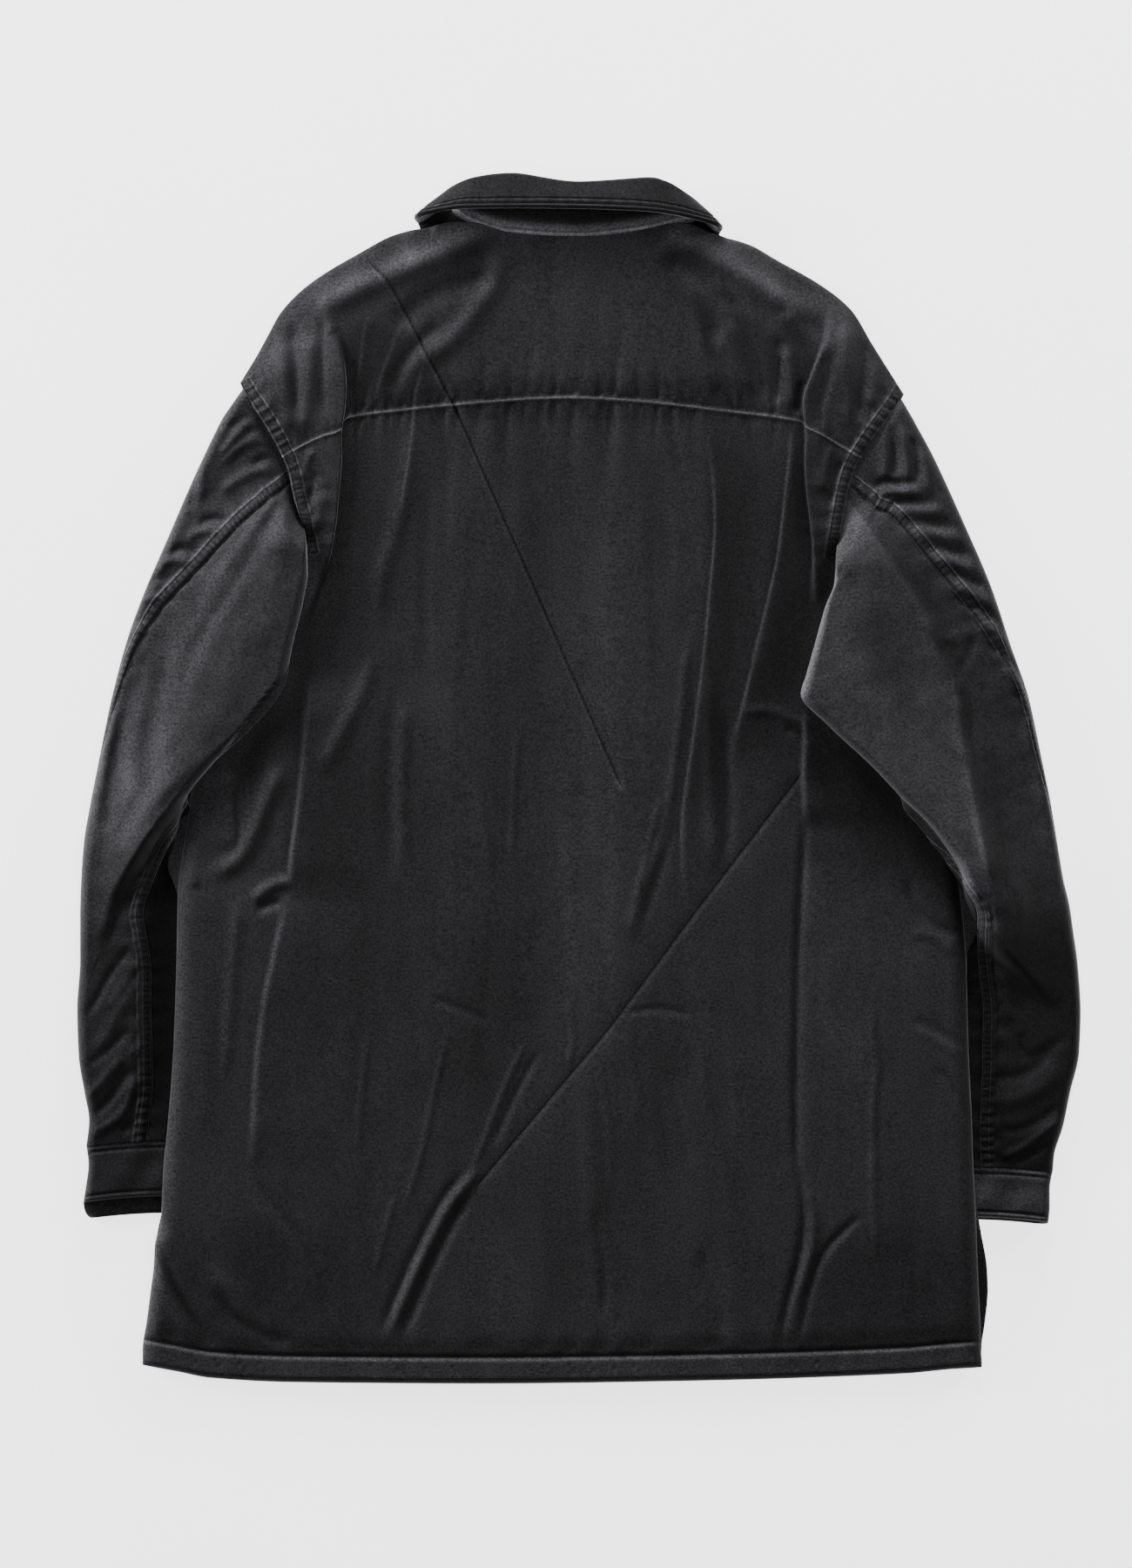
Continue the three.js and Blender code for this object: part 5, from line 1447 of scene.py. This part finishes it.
def velveteen(sh):
    """Pile cloth: dark base times 14 to the power of each point's stored painted light and shade,
    with nap patches and grain, painted shade in puckers and quilted valleys, darker stitch rows,
    painted highlights on band edges, the seam cord and beside the valleys, constant sheen, and a
    bump of pile and crushed places."""
    place = sh.node("TexCoord", {}, {}, 3)
    painted_light, seam, quilt, band, along = map(sh.stored, ("nap", "seam", "quilt", "band", "along"))
    lengthwise = sh.node("Mapping", {}, {"Vector": place, "Scale": (1.0, 0.12, 1.0)})
    # soft patches where the nap lies unevenly, a tone of the cloth itself
    nap = sh.noise(place, 9.0, 4.0)
    streak = sh.noise(lengthwise, 80.0, 4.0)
    gather = sh.noise(lengthwise, 230.0, 2.0)
    pile = sh.noise(place, 640.0, 1.0)
    crush = sh.noise(place, 75.0, 5.0)
    fade = sh.math("EXPONENT", sh.math("ABSOLUTE", seam) * -0.075) * (1.0 - sh.bell(seam, 1.2))
    pucker = sh.math("MULTIPLY", 0.49 - gather, 12.0, clamp=True) * fade
    row = sh.math("ABSOLUTE", band - BAND_MIDDLE) - ROW_AWAY
    stitches = sh.bell(row, 0.5)
    strip = sh.bell(band - BAND_MIDDLE, 3.8)
    tick = sh.math("SINE", along * 1.6 + crush * 9.0 + nap * 30.0) * strip
    edge = sh.bell(row - 1.3, 0.6)
    cord = sh.bell(seam, 0.65)
    valley = sh.bell(quilt, 0.8)
    beside_valley = sh.bell(quilt + 2.0, 1.4)
    light = nap * 0.3 + streak * 0.55 + crush * 0.45 + pile * 2.1 - 0.68
    # painted light and shade: 14 to the power of each point's stored number
    light = light * sh.math("POWER", PAINTED_LIGHT_BASE, painted_light)
    # painted shade in the puckers and darker stitch rows, a painted highlight on the bands' edges,
    # a painted highlight on the yoke seam's cord, painted shade in the quilted valleys with a
    # painted highlight beside them, and painted light and shade across the bands' puckers
    light = light * (1.0 - pucker * 0.5) * (1.0 - stitches * 0.5) * (1.0 + edge * 1.3)
    light = light * (1.0 + cord * 2.9) * (1.0 - valley * 0.5) * (1.0 + beside_valley * 0.45)
    light = light * (1.0 + tick * 0.3)
    colour = sh.node("VectorMath", {"operation": "SCALE"}, {0: CHARCOAL, "Scale": light})
    height = pile * 0.0002 + crush * 0.0005 - pucker * 0.0006 - stitches * 0.0006
    height = height + tick * 0.0003 + cord * 0.0006 - valley * 0.0008 + edge * 0.0003
    relief = sh.node("Bump", {}, {"Height": height, "Strength": 0.6, "Distance": 1.0})
    return {"Base Color": colour, "Roughness": 0.82 + crush * 0.16, "Normal": relief,
            "Sheen Weight": 0.2, "Sheen Roughness": 0.35, "Sheen Tint": SHEEN_TINT,
            "Specular IOR Level": 0.1}


CLOTHS = {f"velveteen_{part}": new_material(f"velveteen_{part}_cloth", velveteen)
          for part in ("body", "yoke", "front", "sleeve", "cuff", "collar")}
print(len(CLOTHS), "cloths")

# %% [markdown]
# Every modelled piece takes the place of its solid, which is hidden, moves with the one rigid
# body, and takes its velveteen from the cloths above. Each is a cut panel of wadded pile cloth,
# faced, filled and lined. Its row also gives its cut and what it lies on. A panel isn't a
# rectangle, so the area of its cut stands beside its greatest width and length.

# %% Pieces take the place of their solids
FRONTS = ["front_left", "front_right"]
# piece, solid, cloth, width and length of its cut in metres, area of the cut, what it lies on
PIECES = [
    (back, "back_body", "body", 0.60, 0.70, 0.3476, FRONTS),
    (yoke, "back_yoke", "yoke", 0.47, 0.17, 0.0536, FRONTS),
    (front_left, "front_left", "front", 0.34, 0.80, 0.2149, ["floor"]),
    (front_right, "front_right", "front", 0.34, 0.80, 0.2103, ["floor"]),
    (stand, "collar_stand", "collar", 0.42, 0.034, 0.0096, FRONTS),
    (leaf, "collar_leaf", "collar", 0.50, 0.075, 0.0199, ["collar_stand"]),
]
CUTS = {
    "left": {"outer": (0.10, 0.54, 0.0283), "back": (0.15, 0.48, 0.0492),
             "under": (0.12, 0.50, 0.0392), "cuff": (0.235, 0.050, 0.0113)},
    "right": {"outer": (0.11, 0.55, 0.0328), "back": (0.19, 0.49, 0.0588),
              "under": (0.12, 0.51, 0.0404), "cuff": (0.235, 0.042, 0.0095)},
}
for side, cut in CUTS.items():
    for piece, part in zip(sleeves[side], ("outer", "back", "under")):
        PIECES.append((piece, f"sleeve_{side}_{part}", "sleeve", *cut[part],
                       ["floor", "back_body"]))
    PIECES.append((cuffs[side], f"cuff_{side}", "cuff", *cut["cuff"], ["floor"]))
for piece, node, cloth, width, length, area, below in PIECES:
    piece.data.materials.append(CLOTHS["velveteen_" + cloth])
    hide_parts(node)
    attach(piece, "root")
    "velveteen_" + cloth
print(len(PIECES), "pieces")

# %% [markdown]
# The jacket lies on a plain white surface under soft light from above and both sides. The camera
# looks straight down.

# %% Floor, lights and camera
REACH = 3
DOWN = -0.0004
# name, place, what it is turned to, size in metres, watts
LIGHTS = [
    ("overhead", (0.1, -0.1, 2.8), (0, -0.1, 0), 1.2, 31),
    ("left_side", (-2.1, 0.7, 0.9), (0, 0.05, 0), 0.8, 70),
    ("right_side", (2.1, 1.3, 0.8), (0, 0.1, 0), 0.8, 62),
    ("top_side", (0.3, 2.4, 0.8), (0, 0.1, 0), 0.9, 66),
]
CAMERA_PLACE = (-0.0084, -0.003, 4.0)
SENSOR = 24
FRAME_HEIGHT = 1.08
CLOTH_AWAY = 3.98


def white_paper(sh):
    """A faint fleck: 0.93 plus 0.03 of a cloudy noise, which also shines a little."""
    place = sh.node("TexCoord", {}, {}, 3)
    shade = 0.93 + sh.node("TexNoise", {}, {"Vector": place, "Scale": 6.0}) * 0.03
    mixed = sh.node("CombineColor", {}, {0: shade, 1: shade, 2: shade})
    return {"Base Color": mixed, "Roughness": 0.9, "Emission Color": mixed,
            "Emission Strength": 2.4}


ground = bpy.data.meshes.new("surface")
corners = [(-REACH, -REACH), (REACH, -REACH), (REACH, REACH), (-REACH, REACH)]
ground.from_pydata([(x, y, DOWN) for x, y in corners], [], [(0, 1, 2, 3)])
ground.materials.append(new_material("white_surface", white_paper))
add_object("surface", ground)

world = bpy.data.worlds.new("studio")
world.use_nodes = True
sky = world.node_tree.nodes["Background"].inputs
sky["Color"].default_value = (1, 1, 1, 1)
sky["Strength"].default_value = 0.15
bpy.context.scene.world = world

for name, place, aim, size, watts in LIGHTS:
    lamp = bpy.data.lights.new(name, "AREA")
    lamp.size, lamp.energy = size, watts
    item = add_object(name, lamp)
    item.location = place
    item.rotation_euler = (Vector(aim) - Vector(place)).to_track_quat("-Z", "Y").to_euler()

lens = bpy.data.cameras.new("overhead_camera")
lens.sensor_fit = "VERTICAL"
lens.sensor_height = SENSOR
lens.lens = SENSOR * CLOTH_AWAY / FRAME_HEIGHT
camera = add_object("overhead_camera", lens)
camera.location = CAMERA_PLACE
bpy.context.scene.camera = camera
print(len(LIGHTS), "lights")
